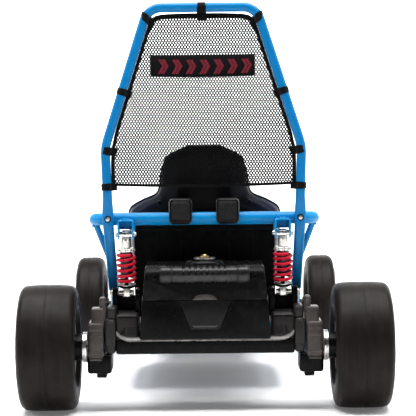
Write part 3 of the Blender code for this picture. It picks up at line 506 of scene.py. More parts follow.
def weld(form, path, size=0.0026, closed=True):
    """A rippled weld bead along a path."""
    path = resample([Vector(p) for p in path], 0.0016, closed)
    radii = [size * (0.86 + 0.22 * abs(sin(i * 0.9))) * (1 + 0.1 * noise.noise(p * 300))
             for i, p in enumerate(path)]
    form.tube(path, radii, sides=10, closed=closed)


def bolt_head(form, centre, direction, radius, height, finish=0, hexagon=True, washer=True):
    """A hexagon or button head standing on a washer."""
    axis = Vector(direction).normalized()
    if washer:
        form.lathe([(POINT, 0), (radius * 1.45, 0), (radius * 1.45, 0.0006), (radius * 1.35, 0.0009),
                    (POINT, 0.0009)], centre, axis, 28, finish=finish)
    if hexagon:
        form.lathe([(radius * 1.1, 0.0009), (radius * 1.1, height * 0.82), (radius * 0.95, height),
                    (radius * 0.3, height + 0.0001)], centre, axis, 6, finish=finish)
    else:
        form.lathe([(POINT, 0), (radius, 0), (radius, height * 0.4), (radius * 0.85, height * 0.8),
                    (radius * 0.5, height), (radius * 0.42, height), (radius * 0.38, height * 0.55),
                    (POINT, height * 0.5)], centre, axis, 24, finish=finish)


# Frame tubes

def make_upper_rail():
    right = [(0.2325, RAIL_Y, RAIL_Z), (0.257, 0.02, 0.377), (0.21, 0.265, 0.364)]
    corners = rounded_path(mirror_pairs(right) + right, [0.09, 0.12, 0.042, 0.042, 0.12, 0.09], True)
    form = Form()
    form.tube(resample(corners, 0.03, True), RAIL_RADIUS, 36, closed=True)
    form.done("rail_tube", "frame", BLUE, "upper_rail")


def make_uprights():
    for name, side in SIDES:
        corners = [(0.234, -0.4, 0.392), (0.2125, -0.393, 0.335), (0.2, -0.378, 0.3), (0.2, -0.362, 0.262),
                   (0.203, PIVOT.y, PIVOT.z), (0.203, -0.185, 0.115)]
        form = Form()
        form.tube(resample(rounded_path([(side * x, y, z) for x, y, z in corners], 0.025), 0.02), 0.0068, 24)
        for spot, along in (((side * 0.2336, -0.3998, 0.3885), (side * 0.0215, 0.007, 0.057)),
                            ((side * 0.203, -0.187, 0.1165), (0, 0.065, -0.053))):
            weld(form, ring_points(spot, along, 0.0074, 20), 0.002)
        form.done(f"upright_tube_{name}", "frame", BLUE, f"rear_upright_{name}")
        start, end = Vector((side * 0.1, 0.276, 0.352)), Vector((side * 0.128, 0.338, 0.115))
        along = (end - start).normalized()
        form = Form()
        form.rod(start, end, 0.008, 24)
        for spot in (start + along * 0.004, end - along * 0.003):
            weld(form, ring_points(spot, along, 0.0085, 20), 0.002)
        form.done(f"strut_tube_{name}", "frame", BLUE, f"front_strut_{name}")


def make_floor_frame():
    z = 0.102
    left = [(-0.203, -0.2, z), (-0.203, 0.1, z), (-0.13, 0.27, z), (-0.13, 0.42, z)]
    form = Form()
    path = resample(rounded_path(left + mirror_pairs(left), 0.05, True), 0.03, True)
    form.tube(path, 0.0125, 32, closed=True)
    form.rod((-0.196, -0.03, z), (0.196, -0.03, z), 0.0105, 28)
    for side in (-1, 1):
        weld(form, ring_points((side * 0.1905, -0.03, z), X, 0.0112, 24), 0.0022)
    form.done("floor_tubes", "frame", BLUE, "floor_frame")


def make_front_bumper():
    right = [(0.105, 0.4335, 0.106), (0.105, 0.47, 0.11), (0.15, 0.545, 0.125), (0.12, 0.589, 0.13)]
    path = rounded_path(right + mirror_pairs(right), [0, 0.03, 0.03, 0.05, 0.05, 0.03, 0.03, 0])
    form = Form()
    form.tube(resample(path, 0.02), 0.011, 28)
    form.done("bumper_tube", "frame", BLUE, "front_bumper")


def make_hoop():
    """The roll hoop: a round arch whose ends flatten, lap behind the crossbar and lean in and forward."""
    (bolt_x, bolt_z), (bend_x, bend_z), (top_x, top_z) = HOOP_BOLT, HOOP_BEND, HOOP_TOP
    foot = (bolt_x + 0.0003, HOOP_Y, 0.452)
    right = [(top_x, HOOP_Y, top_z), (bend_x, HOOP_Y, bend_z), foot]
    arch = resample(rounded_path(mirror_pairs(right) + right, [0, 0.1, 0.038, 0.038, 0.1, 0]), 0.012)
    leg = resample(rounded_path([foot, (bolt_x, LEG_Y, bolt_z), (bolt_x - 0.001, LEG_Y, 0.3845), LEG_FOOT],
                                [0, 0.05, 0.03, 0], steps=6), 0.008)
    path = [Vector((-p.x, p.y, p.z)) for p in reversed(leg[1:])] + arch + leg[1:]
    frames = []
    for i, point in enumerate(path):
        along = (path[min(i + 1, len(path) - 1)] - path[max(i - 1, 0)]).normalized()
        v = (Y - along * along.y).normalized()
        flat = min(1, max(0, (0.45 - point.z) / 0.032))
        flat = flat * flat * (3 - 2 * flat)
        wide = 0.0118 - 0.0008 * min(1, max(0, (bolt_z - point.z) / 0.06))
        frames.append((point, along.cross(v) * (HOOP_RADIUS + (wide - HOOP_RADIUS) * flat),
                       v * (HOOP_RADIUS + (0.0069 - HOOP_RADIUS) * flat)))
    for end, beside in ((0, 1), (-1, -2)):
        centre, u, v = frames[end]
        step = (centre - frames[beside][0]).normalized()
        tip = [(centre + step * 0.004, u * 0.85, v * 0.85), (centre + step * 0.007, u * 0.5, v * 0.5)]
        frames = tip[::-1] + frames if end == 0 else frames + tip
    form = Form()
    form.sweep(frames, 32, power=2.35)
    # the hoop takes the darker copy of the frame blue, a painted shade
    form.done("hoop_tube", "frame", HOOP_BLUE_PAINTED_SHADE, "roll_hoop")
    for name, side in SIDES:
        form = Form()
        centre = Vector((side * bolt_x, LEG_Y - 0.007, bolt_z))
        form.lathe([(POINT, 0), (0.0072, 0), (0.0072, 0.0008), (POINT, 0.0008)], centre, -Y, 28, finish=1)
        bolt_head(form, centre - Y * 0.0006, -Y, 0.0048, 0.0036, hexagon=False, washer=False)
        form.done(f"hoop_bolt_head_{name}", "frame", [STEEL, DULL_BLACK], f"hoop_bolt_{name}")


def make_brackets():
    """Inverted channels behind the crossbar for the shocks' top bolts."""
    back, front = -0.477, -0.4442
    wall, half, top, corner, foot = 0.003, 0.0165, 0.4022, 0.006, 0.374

    def half_channel(inset):
        """The channel's left half, outside then inside, from its middle line."""
        outer, inner = [(-half + inset, foot)], [(-half + wall - inset, foot)]
        for i in range(7):
            a = pi - pi / 2 * i / 6
            for line, r in ((outer, corner - inset), (inner, corner - wall + inset)):
                line.append((-half + corner + cos(a) * r, top - corner + sin(a) * r))
        return outer + mirror_pairs(outer) + list(reversed(inner + mirror_pairs(inner)))

    for name, side in SIDES:
        x = side * SHOCK_X
        form = Form()
        form.rings([[Vector((x + p, y, q)) for p, q in half_channel(inset)] for y, inset in (
            (back, 0.0006), (back + 0.0006, 0), (front - 0.0006, 0), (front, 0.0006))])
        outline = [(back + 0.0012, 0.376)]
        for i in range(9):
            a = pi + pi * i / 8
            outline.append((SHOCK_TOP.y + 0.0115 * cos(a), SHOCK_TOP.z + 0.0115 * sin(a)))
        outline.append((front - 0.006, 0.376))
        # the side plates take the lighter blue, a painted highlight on their edges
        for way in (-1, 1):
            place = x + way * (half - wall / 2)
            matrix = Matrix(((0, 0, 1, place), (1, 0, 0, 0), (0, 1, 0, 0), (0, 0, 0, 1)))
            form.plate(outline, wall, matrix, 0.0005, finish=1)
        form.box((x - half + wall, front - 0.0025, 0.381), (x + half - wall, front, 0.3992), 0.0004)
        for edge in (-half - 0.0005, half + 0.0005):
            weld(form, [(x + edge, front, z) for z in (0.376, 0.392)], 0.002, closed=False)
        bead = [(x - 0.0075 + i * 0.003, back + 0.003 + 0.0008 * i * (5 - i), top + 0.0008) for i in range(6)]
        weld(form, bead, 0.0024, closed=False)
        form.done(f"bracket_channel_{name}", "frame", [BLUE, BLUE_PAINTED_HIGHLIGHT],
                  f"shock_bracket_{name}", sharp=30)


# Net, its hem, straps and patch

NET_LOW, NET_TOP = 0.474, 0.8355


def tube_x(z):
    """The hoop's centre line at a height, on the right."""
    (bolt_x, bolt_z), (bend_x, bend_z), (top_x, top_z) = HOOP_BOLT, HOOP_BEND, HOOP_TOP
    straight = bolt_x + (bend_x - bolt_x) * (z - bolt_z) / (bend_z - bolt_z)
    slanted = bend_x + (top_x - bend_x) * (z - bend_z) / (top_z - bend_z)
    # the hoop cuts inside the corner where its two runs would meet
    return min(straight, slanted) - 0.0028 * exp(-((z - bend_z) / 0.022) ** 2)


def net_edge(z):
    return tube_x(z) - HOOP_RADIUS - 0.0006


def net_y(x, z):
    """The net's slight slack behind and in front of the hoop's plane."""
    slow, fast = sin(x * 23 + 0.6) * sin((z - NET_LOW) * 17), sin(x * 61) * cos(z * 47)
    return HOOP_Y + 0.0012 * slow + 0.0006 * fast


def net_outline():
    """The hem's outer line: up the right, over the arched top, down the left and along the sagging foot."""
    right = [(net_edge(z), z) for z in [NET_LOW + (0.806 - NET_LOW) * i / 40 for i in range(41)]]
    right += [(0.1125, 0.8185), (0.1065, 0.8262), (0.0985, 0.8312), (0.085, 0.8342), (0.05, 0.8356),
              (0.025, 0.836)]
    foot = [(-net_edge(NET_LOW) * across, NET_LOW - 0.0045 * (1 - across ** 2))
            for across in (1 - 2 * i / 30 for i in range(1, 30))]
    return right + [(0, 0.836)] + mirror_pairs(right) + foot


def inside(point, outline, margin):
    """Whether a point is inside a closed outline by at least a margin."""
    x, z = point
    hit, near = False, 1e9
    for (x1, z1), (x2, z2) in zip(outline, outline[1:] + outline[:1]):
        if (z1 > z) != (z2 > z) and x < (x2 - x1) * (z - z1) / (z2 - z1) + x1:
            hit = not hit
        dx, dz = x2 - x1, z2 - z1
        t = max(0, min(1, ((x - x1) * dx + (z - z1) * dz) / (dx * dx + dz * dz + 1e-12)))
        near = min(near, hypot(x - x1 - t * dx, z - z1 - t * dz))
    return hit and near > margin


def make_net():
    """A sheet of six-sided cells with an oval hole in each."""
    outline = net_outline()
    pitch, row_step = 0.0061, 0.00485
    hole_x, hole_z, rim_z = 0.00142, 0.00182, row_step / 3
    right = [(pitch / 2, -rim_z), (pitch / 2, rim_z)]
    corners = [Vector(c) for c in right + [(0, 2 * rim_z)] + mirror_pairs(right) + [(0, -2 * rim_z)]]
    spots = [spot for a, b in zip(corners, corners[1:] + corners[:1]) for spot in (a, (a + b) / 2)]
    verts, faces, known = [], [], {}

    def vertex(x, z):
        key = (round(x * 1e6), round(z * 1e6))
        if key not in known:
            known[key] = len(verts)
            verts.append(Vector((x, net_y(x, z), z)))
        return known[key]

    for row in range(-2, int((NET_TOP - NET_LOW) / row_step) + 2):
        z = NET_LOW + row * row_step
        for column in range(-36, 37):
            x = column * pitch + (pitch / 2 if row % 2 else 0)
            if not inside((x, z), outline, 0.0028):
                continue
            outer = [vertex(x + px, z + pz) for px, pz in spots]
            turns = [atan2(pz / hole_z, px / hole_x) for px, pz in spots]
            inner = [vertex(x + hole_x * cos(a), z + hole_z * sin(a)) for a in turns]
            for i in range(12):
                j = (i + 1) % 12
                faces.append((outer[i], outer[j], inner[j], inner[i]))
    form = Form()
    form.take(verts, faces, 0)
    net = form.done("net_lattice", "frame", NET, "net_panel", sharp=180)
    wall = net.modifiers.new("Thickness", "SOLIDIFY")
    wall.thickness, wall.offset = 0.0014, 0
    pieces = [make_hem(outline)] + make_patch() + make_straps()


def make_hem(outline):
    """The folded band round the net, wider along the top, with two rows of stitches."""
    section = ((0, 0.0), (0.04, 0.75), (0.12, 1.0), (0.3, 0.82), (0.55, 1.0), (0.8, 0.8), (0.93, 0.9),
               (1, 0.0), (0.93, -0.9), (0.5, -1.0), (0.12, -1.0), (0.04, -0.75))
    points = [Vector((x, 0, z)) for x, z in outline]
    rings, seams, half = [], ([], []), 0.0017
    for i, point in enumerate(points):
        along = (points[(i + 1) % len(points)] - points[i - 1]).normalized()
        inward = Vector((-along.z, 0, along.x))
        high = min(1, max(0, (point.z - 0.8) / 0.015))
        low = min(1, max(0, (NET_LOW + 0.002 - point.z) / 0.002))
        width = 0.0078 + 0.0028 * high - 0.0018 * low
        y = net_y(point.x, point.z)
        ring = []
        for share, lift in section:
            spot = point + inward * width * share
            ring.append(Vector((spot.x, y - half * lift + 0.0003 * noise.noise(spot * 150), spot.z)))
        rings.append(ring)
        for seam, share in zip(seams, (0.3, 0.8)):
            spot = point + inward * width * share
            seam.append(Vector((spot.x, y - half * 0.9, spot.z)))
    form = Form()
    form.rings(rings, closed_path=True)
    for seam in seams:
        line = resample(seam, 0.0038, True)
        for a, b in zip(line, line[1:]):
            form.tube([a, a.lerp(b, 0.35) - Y * 0.0005, a.lerp(b, 0.62)], 0.00032, 5, finish=1)
    return form.done("net_hem", "frame", [WEBBING, WEBBING], sharp=50)


def make_patch():
    """A plain knitted label with a row of red chevrons, curved a little down in its middle."""
    half_x, low, high, columns, marks_z = 0.1105, 0.7025, 0.749, 44, 0.7255

    def bend(x):
        return 0.0022 * ((x / half_x) ** 2 - 0.6)
    form = Form()
    rings = []
    for i in range(columns + 1):
        x = -half_x + 2 * half_x * i / columns
        edge = 0.0008 if i in (0, columns) else 0.0015
        ripple = 0.0004 * sin(i * 2.3)
        z0, z1 = low + bend(x) - ripple, high + bend(x) + ripple
        middle, y = (z0 + z1) / 2, net_y(x, 0.73) - 0.0008
        rings.append([Vector((x, y - lift, z)) for lift, z in (
            (0, z0), (edge, z0 + 0.0012), (edge, middle), (edge, z1 - 0.0012), (0, z1), (-0.0002, middle))])
    form.rings(rings)
    base = form.done("net_patch", "frame", PATCH, sharp=60)
    form = Form()
    for number in range(7):
        for lean in (0, 1):
            for stroke in range(12):
                share = stroke / 12
                tip = 0.0085 * (1 - abs(2 * share - 1))
                for strand in range(3):
                    x = (number - 3) * 0.0292 - 0.005 + tip + lean * 0.0075 + strand * 0.0019
                    spot = Vector((x, net_y(x, 0.73) - 0.0024, marks_z + (share - 0.5) * 0.03 + bend(x)))
                    step = Vector((0.0011, 0, 0.0009))
                    form.tube([spot - step, spot - Y * 0.0003, spot + step], 0.00085, 5)
    return [base, form.done("patch_chevrons", "frame", EMBROIDERY, sharp=60)]


def strap_spots():
    """Each strap's centre on the hoop, the tube's direction there, the way in to the net and its width."""
    spots = [("top", Vector((-0.001, HOOP_Y, HOOP_TOP[1])), X, -Z, 0.0185)]
    slant = Vector((HOOP_TOP[0] - HOOP_BEND[0], 0, HOOP_TOP[1] - HOOP_BEND[1])).normalized()
    for name, side in SIDES:
        flip = Vector((side, 1, 1))
        corner, inward = Vector((0.1193, HOOP_Y, 0.8275)), Vector((-0.8, 0, -0.6))
        spots.append((f"corner_{name}", corner * flip, slant * flip, inward * flip, 0.0175))
        for label, z, along, width in (("side", 0.672, slant, 0.015), ("bend", 0.548, slant + Z, 0.0165),
                                       ("foot", 0.4715, Vector((0.025, 0, 1)), 0.0155)):
            along = along.normalized()
            centre, inward = Vector((tube_x(z), HOOP_Y, z)), Vector((-along.z, 0, along.x))
            spots.append((f"{label}_{name}", centre * flip, along * flip, inward * flip, width))
    return spots


def make_straps():
    """Webbing loops round the hoop, each closed by two stitched tails on the net."""
    outer, thick, opening = HOOP_RADIUS + 0.0013, 0.0013, radians(22)
    made = []
    for label, centre, along, inward, width in strap_spots():
        reach = 0.016 if label == "top" else 0.011
        rings = []
        for i in range(35):
            angle = radians(22 + 316 * i / 34)
            out = inward * cos(angle) + Y * sin(angle)
            ripple = noise.noise(Vector((i * 0.4, centre.z * 30, centre.x * 30)))
            half = width / 2 * (1 + 0.1 * cos(angle) + 0.03 * ripple)
            under, over = centre + out * (outer - thick), centre + out * outer
            rings.append([under - along * half, over - along * (half - 0.0006),
                          over + along * (half - 0.0006), under + along * half])
        tails = []
        for way in (Y, -Y):
            lift, tail = way * 0.0006, []
            for step, (ahead, apart) in enumerate((
                    (outer * cos(opening), outer * sin(opening)), (outer + 0.003, 0.0034),
                    (outer + reach, 0.0026))):
                half = width / 2 * (1.1 - 0.05 * step)
                spot = centre + inward * ahead + way * apart
                tail.append([spot - along * half - lift, spot - along * (half - 0.0005) + lift,
                             spot + along * (half - 0.0005) + lift, spot + along * half - lift])
            tails.append(tail)
        form = Form()
        form.rings(tails[0][:0:-1] + rings + tails[1][1:])
        for row in (0.55, 0.85):
            for i in range(5):
                across = (i / 4 - 0.5) * width * 0.8
                spot = centre + inward * (outer + reach * row) + along * across - Y * 0.0036
                step = along * 0.0011
                form.tube([spot - step, spot - Y * 0.0003, spot + step], 0.0003, 5, finish=1)
        made.append(form.done(f"strap_{label}", "frame", [WEBBING, NET], sharp=55))
    return made


# Seat, clips and bulkhead

SEAT_WALL = 0.004
# y, z, half width and depth of the sides, from the seat's top edge to its front edge
SEAT_STATIONS = (
    (-0.302, 0.554, 0.036, 0.002), (-0.3015, 0.545, 0.055, 0.006), (-0.3005, 0.5352, 0.074, 0.01),
    (-0.298, 0.5215, 0.085, 0.014), (-0.291, 0.488, 0.095, 0.024), (-0.2825, 0.458, 0.0985, 0.032),
    (-0.277, 0.437, 0.1085, 0.04), (-0.272, 0.4195, 0.14, 0.05), (-0.265, 0.395, 0.168, 0.066),
    (-0.256, 0.35, 0.17, 0.1), (-0.243, 0.28, 0.168, 0.105), (-0.218, 0.205, 0.162, 0.1),
    (-0.17, 0.146, 0.158, 0.09), (-0.1, 0.124, 0.158, 0.08), (-0.01, 0.1205, 0.162, 0.065),
    (0.06, 0.124, 0.165, 0.04), (0.085, 0.118, 0.16, 0.018),
)


def curve_at(stations, share):
    """The stations' numbers at a share of the way along, on a smooth curve through all of them."""
    last = len(stations) - 1
    i = min(int(share * last), last - 1)
    t = share * last - i
    near = [stations[min(max(k, 0), last)] for k in (i - 1, i, i + 1, i + 2)]
    return [b + 0.5 * ((c - a) * t + (2 * a - 5 * b + 4 * c - d) * t * t + (3 * b - a - 3 * c + d) * t ** 3)
            for a, b, c, d in zip(*near)]


def border(grid):
    """The outer loop of a grid of points."""
    sides = [row[-1] for row in grid[1:]], [row[0] for row in reversed(grid[1:-1])]
    return grid[0] + sides[0] + grid[-1][-2::-1] + sides[1]


def seat_row(share):
    """Centre, half width, side depth and facing direction of the seat at a share of its stations."""
    last = len(SEAT_STATIONS) - 1
    i = min(int(share * last), last - 1)
    (y0, z0), (y1, z1) = SEAT_STATIONS[i][:2], SEAT_STATIONS[i + 1][:2]
    y, z, half, depth = curve_at(SEAT_STATIONS, share)
    return Vector((0, y, z)), half, depth, Vector((0, z0 - z1, y1 - y0)).normalized()


def seat_back_y(x, z):
    """The back shell's inner face at a place on its upright part."""
    points = []
    for step in range(400):
        centre, half, depth, towards = seat_row(step / 400 * 0.6)
        s = asin(max(-1, min(1, x / half))) / (pi / 2)
        points.append(centre + X * x + towards * depth * abs(s) ** 3)
    return min(points, key=lambda point: abs(point.z - z)).y


def make_seat():
    rows, columns = 104, 48
    inner, outer, towards = [], [], None
    for row in range(rows + 1):
        share = row / rows
        centre, half, depth, facing = seat_row(share)
        towards = facing if towards is None else towards.lerp(facing, 0.22).normalized()
        end = max(0, 1 - share * 16) + max(0, 1 - (1 - share) * 16)
        line_in, line_out = [], []
        for column in range(columns + 1):
            s = 2 * column / columns - 1
            dish = 0.002 * exp(-((abs(s) - 0.45) / 0.1) ** 2) * min(1, share * 6) * min(1, (1 - share) * 6)
            edge = max(0, abs(s) - 0.93) / 0.07
            thick = SEAT_WALL * (1 - 0.25 * edge * edge) * (1 - 0.25 * min(1, end))
            line_in.append(centre + X * half * sin(s * pi / 2) + towards * (depth * abs(s) ** 3 - dish))
            line_out.append(line_in[-1] - towards * thick)
        inner.append(line_in)
        outer.append(line_out)
    form = Form()
    form.rings(inner, closed_ring=False)
    form.rings(outer, closed_ring=False)
    rims = border(inner), border(outer)
    form.rings(rims, caps=False)
    form.tube([(a + b) / 2 for a, b in zip(*rims)], 0.0032, 10, closed=True)
    for x, z, size in ((-0.0585, 0.519, 0.0038), (0.06, 0.523, 0.0038), (-0.0985, 0.428, 0.0058),
                       (0.1, 0.428, 0.0058)):
        spot = Vector((x, seat_back_y(x, z) - SEAT_WALL - 0.0002, z))
        collar = ((0.62, -0.001), (0.62, 0.0002), (0.75, 0.0012), (0.95, 0.0012), (1.12, 0.0002),
                  (1.2, -0.001))
        form.lathe([(size * share, height) for share, height in collar], spot, -Y, 28, ring=True)
        form.lathe([(POINT, 0.0003), (size * 0.66, 0.0003), (size * 0.66, -0.0008), (POINT, -0.0008)],
                   spot, -Y, 20, finish=1)
    form.done("seat_bucket_shell", "frame", [SEAT, DULL_BLACK], "seat_shell", sharp=50)


def make_clips():
    """Saddles on the crossbar, each with an arm forward to the seat."""
    back, front = RAIL_Y - 0.022, RAIL_Y + 0.024
    half_x, half_z, middle_z, corner, arc = 0.0245, 0.027, 0.4175, 0.0085, 9
    for name, side in SIDES:
        x = side * 0.05

        def outline(y, inset):
            r = max(0.001, corner - inset * 0.6)
            ring = []
            for cx, cz, start in ((1, 1, 0), (-1, 1, 90), (-1, -1, 180), (1, -1, 270)):
                for i in range(arc):
                    a = radians(start + 90 * i / (arc - 1))
                    ring.append(Vector((x + cx * (half_x - inset - r) + r * cos(a), y,
                                        middle_z + cz * (half_z - inset - r) + r * sin(a))))
            return ring
        form = Form()
        made = form.rings([outline(*row) for row in (
            (front, 0.003), (front - 0.001, 0.0009), (front - 0.003, 0), (back + 0.0032, 0),
            (back + 0.001, 0.0008), (back, 0.0024), (back + 0.0001, 0.0042), (back + 0.001, 0.005),
            (back + 0.0013, 0.0062), (back + 0.0013, 0.012))])
        # the rolled edge of the back face is darker: it keeps the plain black, while the rest of the saddle
        # carries the painted highlight
        for face in made[5 * 4 * arc:7 * 4 * arc]:
            face.material_index = 1
        form.merge(JOIN, "box", (x - 0.015, RAIL_Y + 0.018, 0.419), (x + 0.015, -0.2803, 0.433), 0.002)
        bar = (x - 0.05, RAIL_Y, RAIL_Z), (x + 0.05, RAIL_Y, RAIL_Z)
        form.merge(CUT, "rod", *bar, RAIL_RADIUS + 0.0002, 40)
        form.done(f"clip_saddle_{name}", "frame", [BLACK_PAINTED_HIGHLIGHT, BLACK],
                  f"seat_clip_{name}", sharp=32)


def make_bulkhead():
    low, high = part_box("bulkhead")
    low.x, high.x = low.x - 0.0055, high.x + 0.0055
    form = Form()
    form.box((low.x, low.y, low.z), (high.x, low.y + 0.004, high.z), 0.0012)
    form.box((low.x, low.y + 0.001, low.z), (high.x, high.y, low.z + 0.004), 0.0012)
    rib, edge = 0.0015, 0.0005
    for x in (-0.104, -0.052, 0, 0.052, 0.104):
        form.box((x - rib, low.y - 0.0012, low.z + 0.012), (x + rib, low.y + 0.001, high.z - 0.012), edge, 2)
    for z in (low.z + 0.012, high.z - 0.013):
        form.box((low.x + 0.006, low.y - 0.0012, z - rib), (high.x - 0.006, low.y + 0.001, z + rib), edge, 2)
    form.done("bulkhead_panel", "frame", DULL_BLACK, "bulkhead")


# Rear box on the swing arm

HOUSE_BOTTOM, HOUSE_TOP = 0.13, 0.124
ROLL_HALF, ROLL_RADIUS, EAR_END = 0.067, 0.0178, 0.093


def roll_centre():
    low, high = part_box("ribbed_roll")
    return (low.y + high.y) / 2, (low.z + high.z) / 2


def make_housing():
    """The electronics housing: flat lower face, rolled upper edge, and a groove for the ribbed roll."""
    roll_y, roll_z = roll_centre()
    bend, cy, cz = 0.026, (BOX_BACK + BOX_FRONT) / 2, (BOX_SEAM + BOX_TOP) / 2
    section = [(BOX_BACK, BOX_SEAM), (BOX_BACK, roll_z - 0.01)]
    for i in range(11):
        a = radians(180 - 90 * i / 10)
        section.append((BOX_BACK + bend + bend * cos(a), BOX_TOP - bend + bend * sin(a)))
    section += [(BOX_FRONT - 0.006, BOX_TOP), (BOX_FRONT, BOX_TOP - 0.006), (BOX_FRONT, BOX_SEAM)]
    # how much smaller the section is, and how far in, at each step of an end's rounded edge
    edges = [(0.0045, 0), (0.0022, 0.0006), (0.0007, 0.0022), (0, 0.005)]
    rings = []
    for side, shrink, step in [(-1, *e) for e in edges] + [(1, *e) for e in reversed(edges)]:
        ring = []
        for y, z in section:
            half = HOUSE_BOTTOM + (HOUSE_TOP - HOUSE_BOTTOM) * (z - BOX_SEAM) / (BOX_TOP - BOX_SEAM)
            y += copysign(min(shrink, abs(y - cy)), cy - y)
            if z > BOX_SEAM + 0.001:
                z += copysign(min(shrink, abs(z - cz)), cz - z)
            ring.append(Vector((side * (half - step), y, z)))
        rings.append(ring)
    form = Form()
    form.rings(rings)
    form.merge(CUT, "box", (-0.116, BOX_BACK + 0.03, BOX_SEAM - 0.02),
               (0.116, BOX_FRONT - 0.003, BOX_TOP - 0.004), 0)
    reach = EAR_END + 0.0005
    form.merge(CUT, "rod", (-reach, roll_y, roll_z), (reach, roll_y, roll_z), 0.0192, 40)
    holes = [Vector((side * 0.1035, BOX_BACK, roll_z - 0.0045)) for side in (-1, 1)]
    for hole in holes:
        form.merge(CUT, "rod", hole - Y * 0.01, hole + Y * 0.014, 0.0046, 24)
    notch = Form()
    notch.lathe([(POINT, 0), (0.0115, 0), (0.0112, 0.011), (POINT, 0.0112)],
                (0, BOX_BACK - 0.0005, BOX_SEAM), Y, 40)
    for vertex in notch.mesh.verts:
        vertex.co.x *= 2.25
    form.combine(CUT, notch)
    # the scoop under the notch takes the light grey, a painted highlight on its upward slope
    scoop, back, floor = [], BOX_BACK + 0.0106, BOX_SEAM + 0.0002
    for i in range(33):
        a = pi * i / 32
        x, rise = 0.0256 * cos(a), 0.0112 * sin(a)
        ring = [(BOX_BACK + 0.0004 + 0.0032 * s ** 1.3, floor + rise * s) for s in (0, 0.25, 0.5, 0.75, 1)]
        scoop.append([Vector((x, y, z)) for y, z in ring + [(back, floor + rise * 0.9), (back, floor)]])
    form.rings(scoop, finish=2)
    for hole in holes:
        form.lathe([(0.0046, -0.004), (0.0046, 0.0003), (0.005, 0.0007), (0.0056, 0.0003), (0.0058, -0.004)],
                   hole, -Y, 28, ring=True)
        form.rod(hole + Y * 0.009, hole + Y * 0.0135, 0.0044, 16, finish=1)
    for low, high in ((-0.1285, -0.03), (0.03, 0.1285)):
        form.box((low, BOX_BACK - 0.0004, BOX_SEAM), (high, BOX_BACK + 0.002, BOX_SEAM + 0.0009), 0.0003, 1)
    form.done("housing_shell", "rear_arm", [BLACK, DULL_BLACK, GREY_PAINTED_HIGHLIGHT], "housing",
              sharp=32)


def make_roll():
    """The roll on the housing's back: grooves round its middle, plain ends and two collars."""
    centre = Vector((0, *roll_centre()))
    edge, ribs, pitch = 0.0006, 8, 0.0122
    profile = [(POINT, -ROLL_HALF), (ROLL_RADIUS - edge, -ROLL_HALF), (ROLL_RADIUS, -ROLL_HALF + edge)]
    for i in range(ribs):
        for offset, depth in ((-0.0034, 0), (-0.0026, 0.0022), (0.0012, 0.0022), (0.002, 0)):
            profile.append((ROLL_RADIUS - depth, (i - (ribs - 1) / 2) * pitch + offset))
    profile += [(ROLL_RADIUS, ROLL_HALF - edge), (ROLL_RADIUS - edge, ROLL_HALF), (POINT, ROLL_HALF)]
    form = Form()
    form.lathe(profile, centre, X, 64)
    strip, half = [], X * 0.056
    for degrees in range(-62, 2, 4):
        a = radians(degrees)
        out = Vector((0, -0.0178 * cos(a), 0.0178 * sin(a)))
        under = out * 0.9
        strip.append([centre + p for p in (out - half, out + half, under + half, under - half)])
    form.rings(strip)
    for side in (-1, 1):
        for start, end, radius in ((0.0672, 0.07, 0.0182), (0.07, 0.0904, 0.0188), (0.0904, 0.093, 0.018)):
            form.rod(centre + X * side * start, centre + X * side * end, radius, 48, rounded=0.0008)
    # the roll takes the lighter black, a painted highlight
    form.done("ribbed_roll_body", "rear_arm", BLACK_PAINTED_HIGHLIGHT, "ribbed_roll", sharp=40)


def make_stud():
    centre = Vector((0, -0.455, BOX_TOP + 0.0003))
    form = Form()
    form.lathe([(POINT, 0), (0.043, 0), (0.0425, 0.0022), (0.04, 0.0052), (0.036, 0.0074), (0.03, 0.0088),
                (0.0235, 0.0094), (POINT, 0.0094)], centre, Z, 64)
    form.lathe([(POINT, 0.0092), (0.0228, 0.0092), (0.023, 0.0098), (0.023, 0.0114), (0.0226, 0.012),
                (POINT, 0.012)], centre, Z, 48, finish=1)
    bolt_head(form, centre + Z * 0.0112, Z, 0.0098, 0.0052, finish=2)
    form.rod(centre + Z * 0.0155, centre + Z * 0.0185, 0.0056, 24, finish=2, rounded=0.0008)
    for i in range(12):
        a = radians(30 * i)
        spot = centre + Vector((0.0385 * cos(a), 0.0385 * sin(a), 0.0056))
        form.lathe([(POINT, 0.0018), (0.0012, 0.0014), (0.0018, 0), (POINT, -0.001)], spot, Z, 10)
    form.done("stud_cap", "rear_arm", [GLOSS_BLACK, TURNED, BRASS], "top_stud", sharp=35)


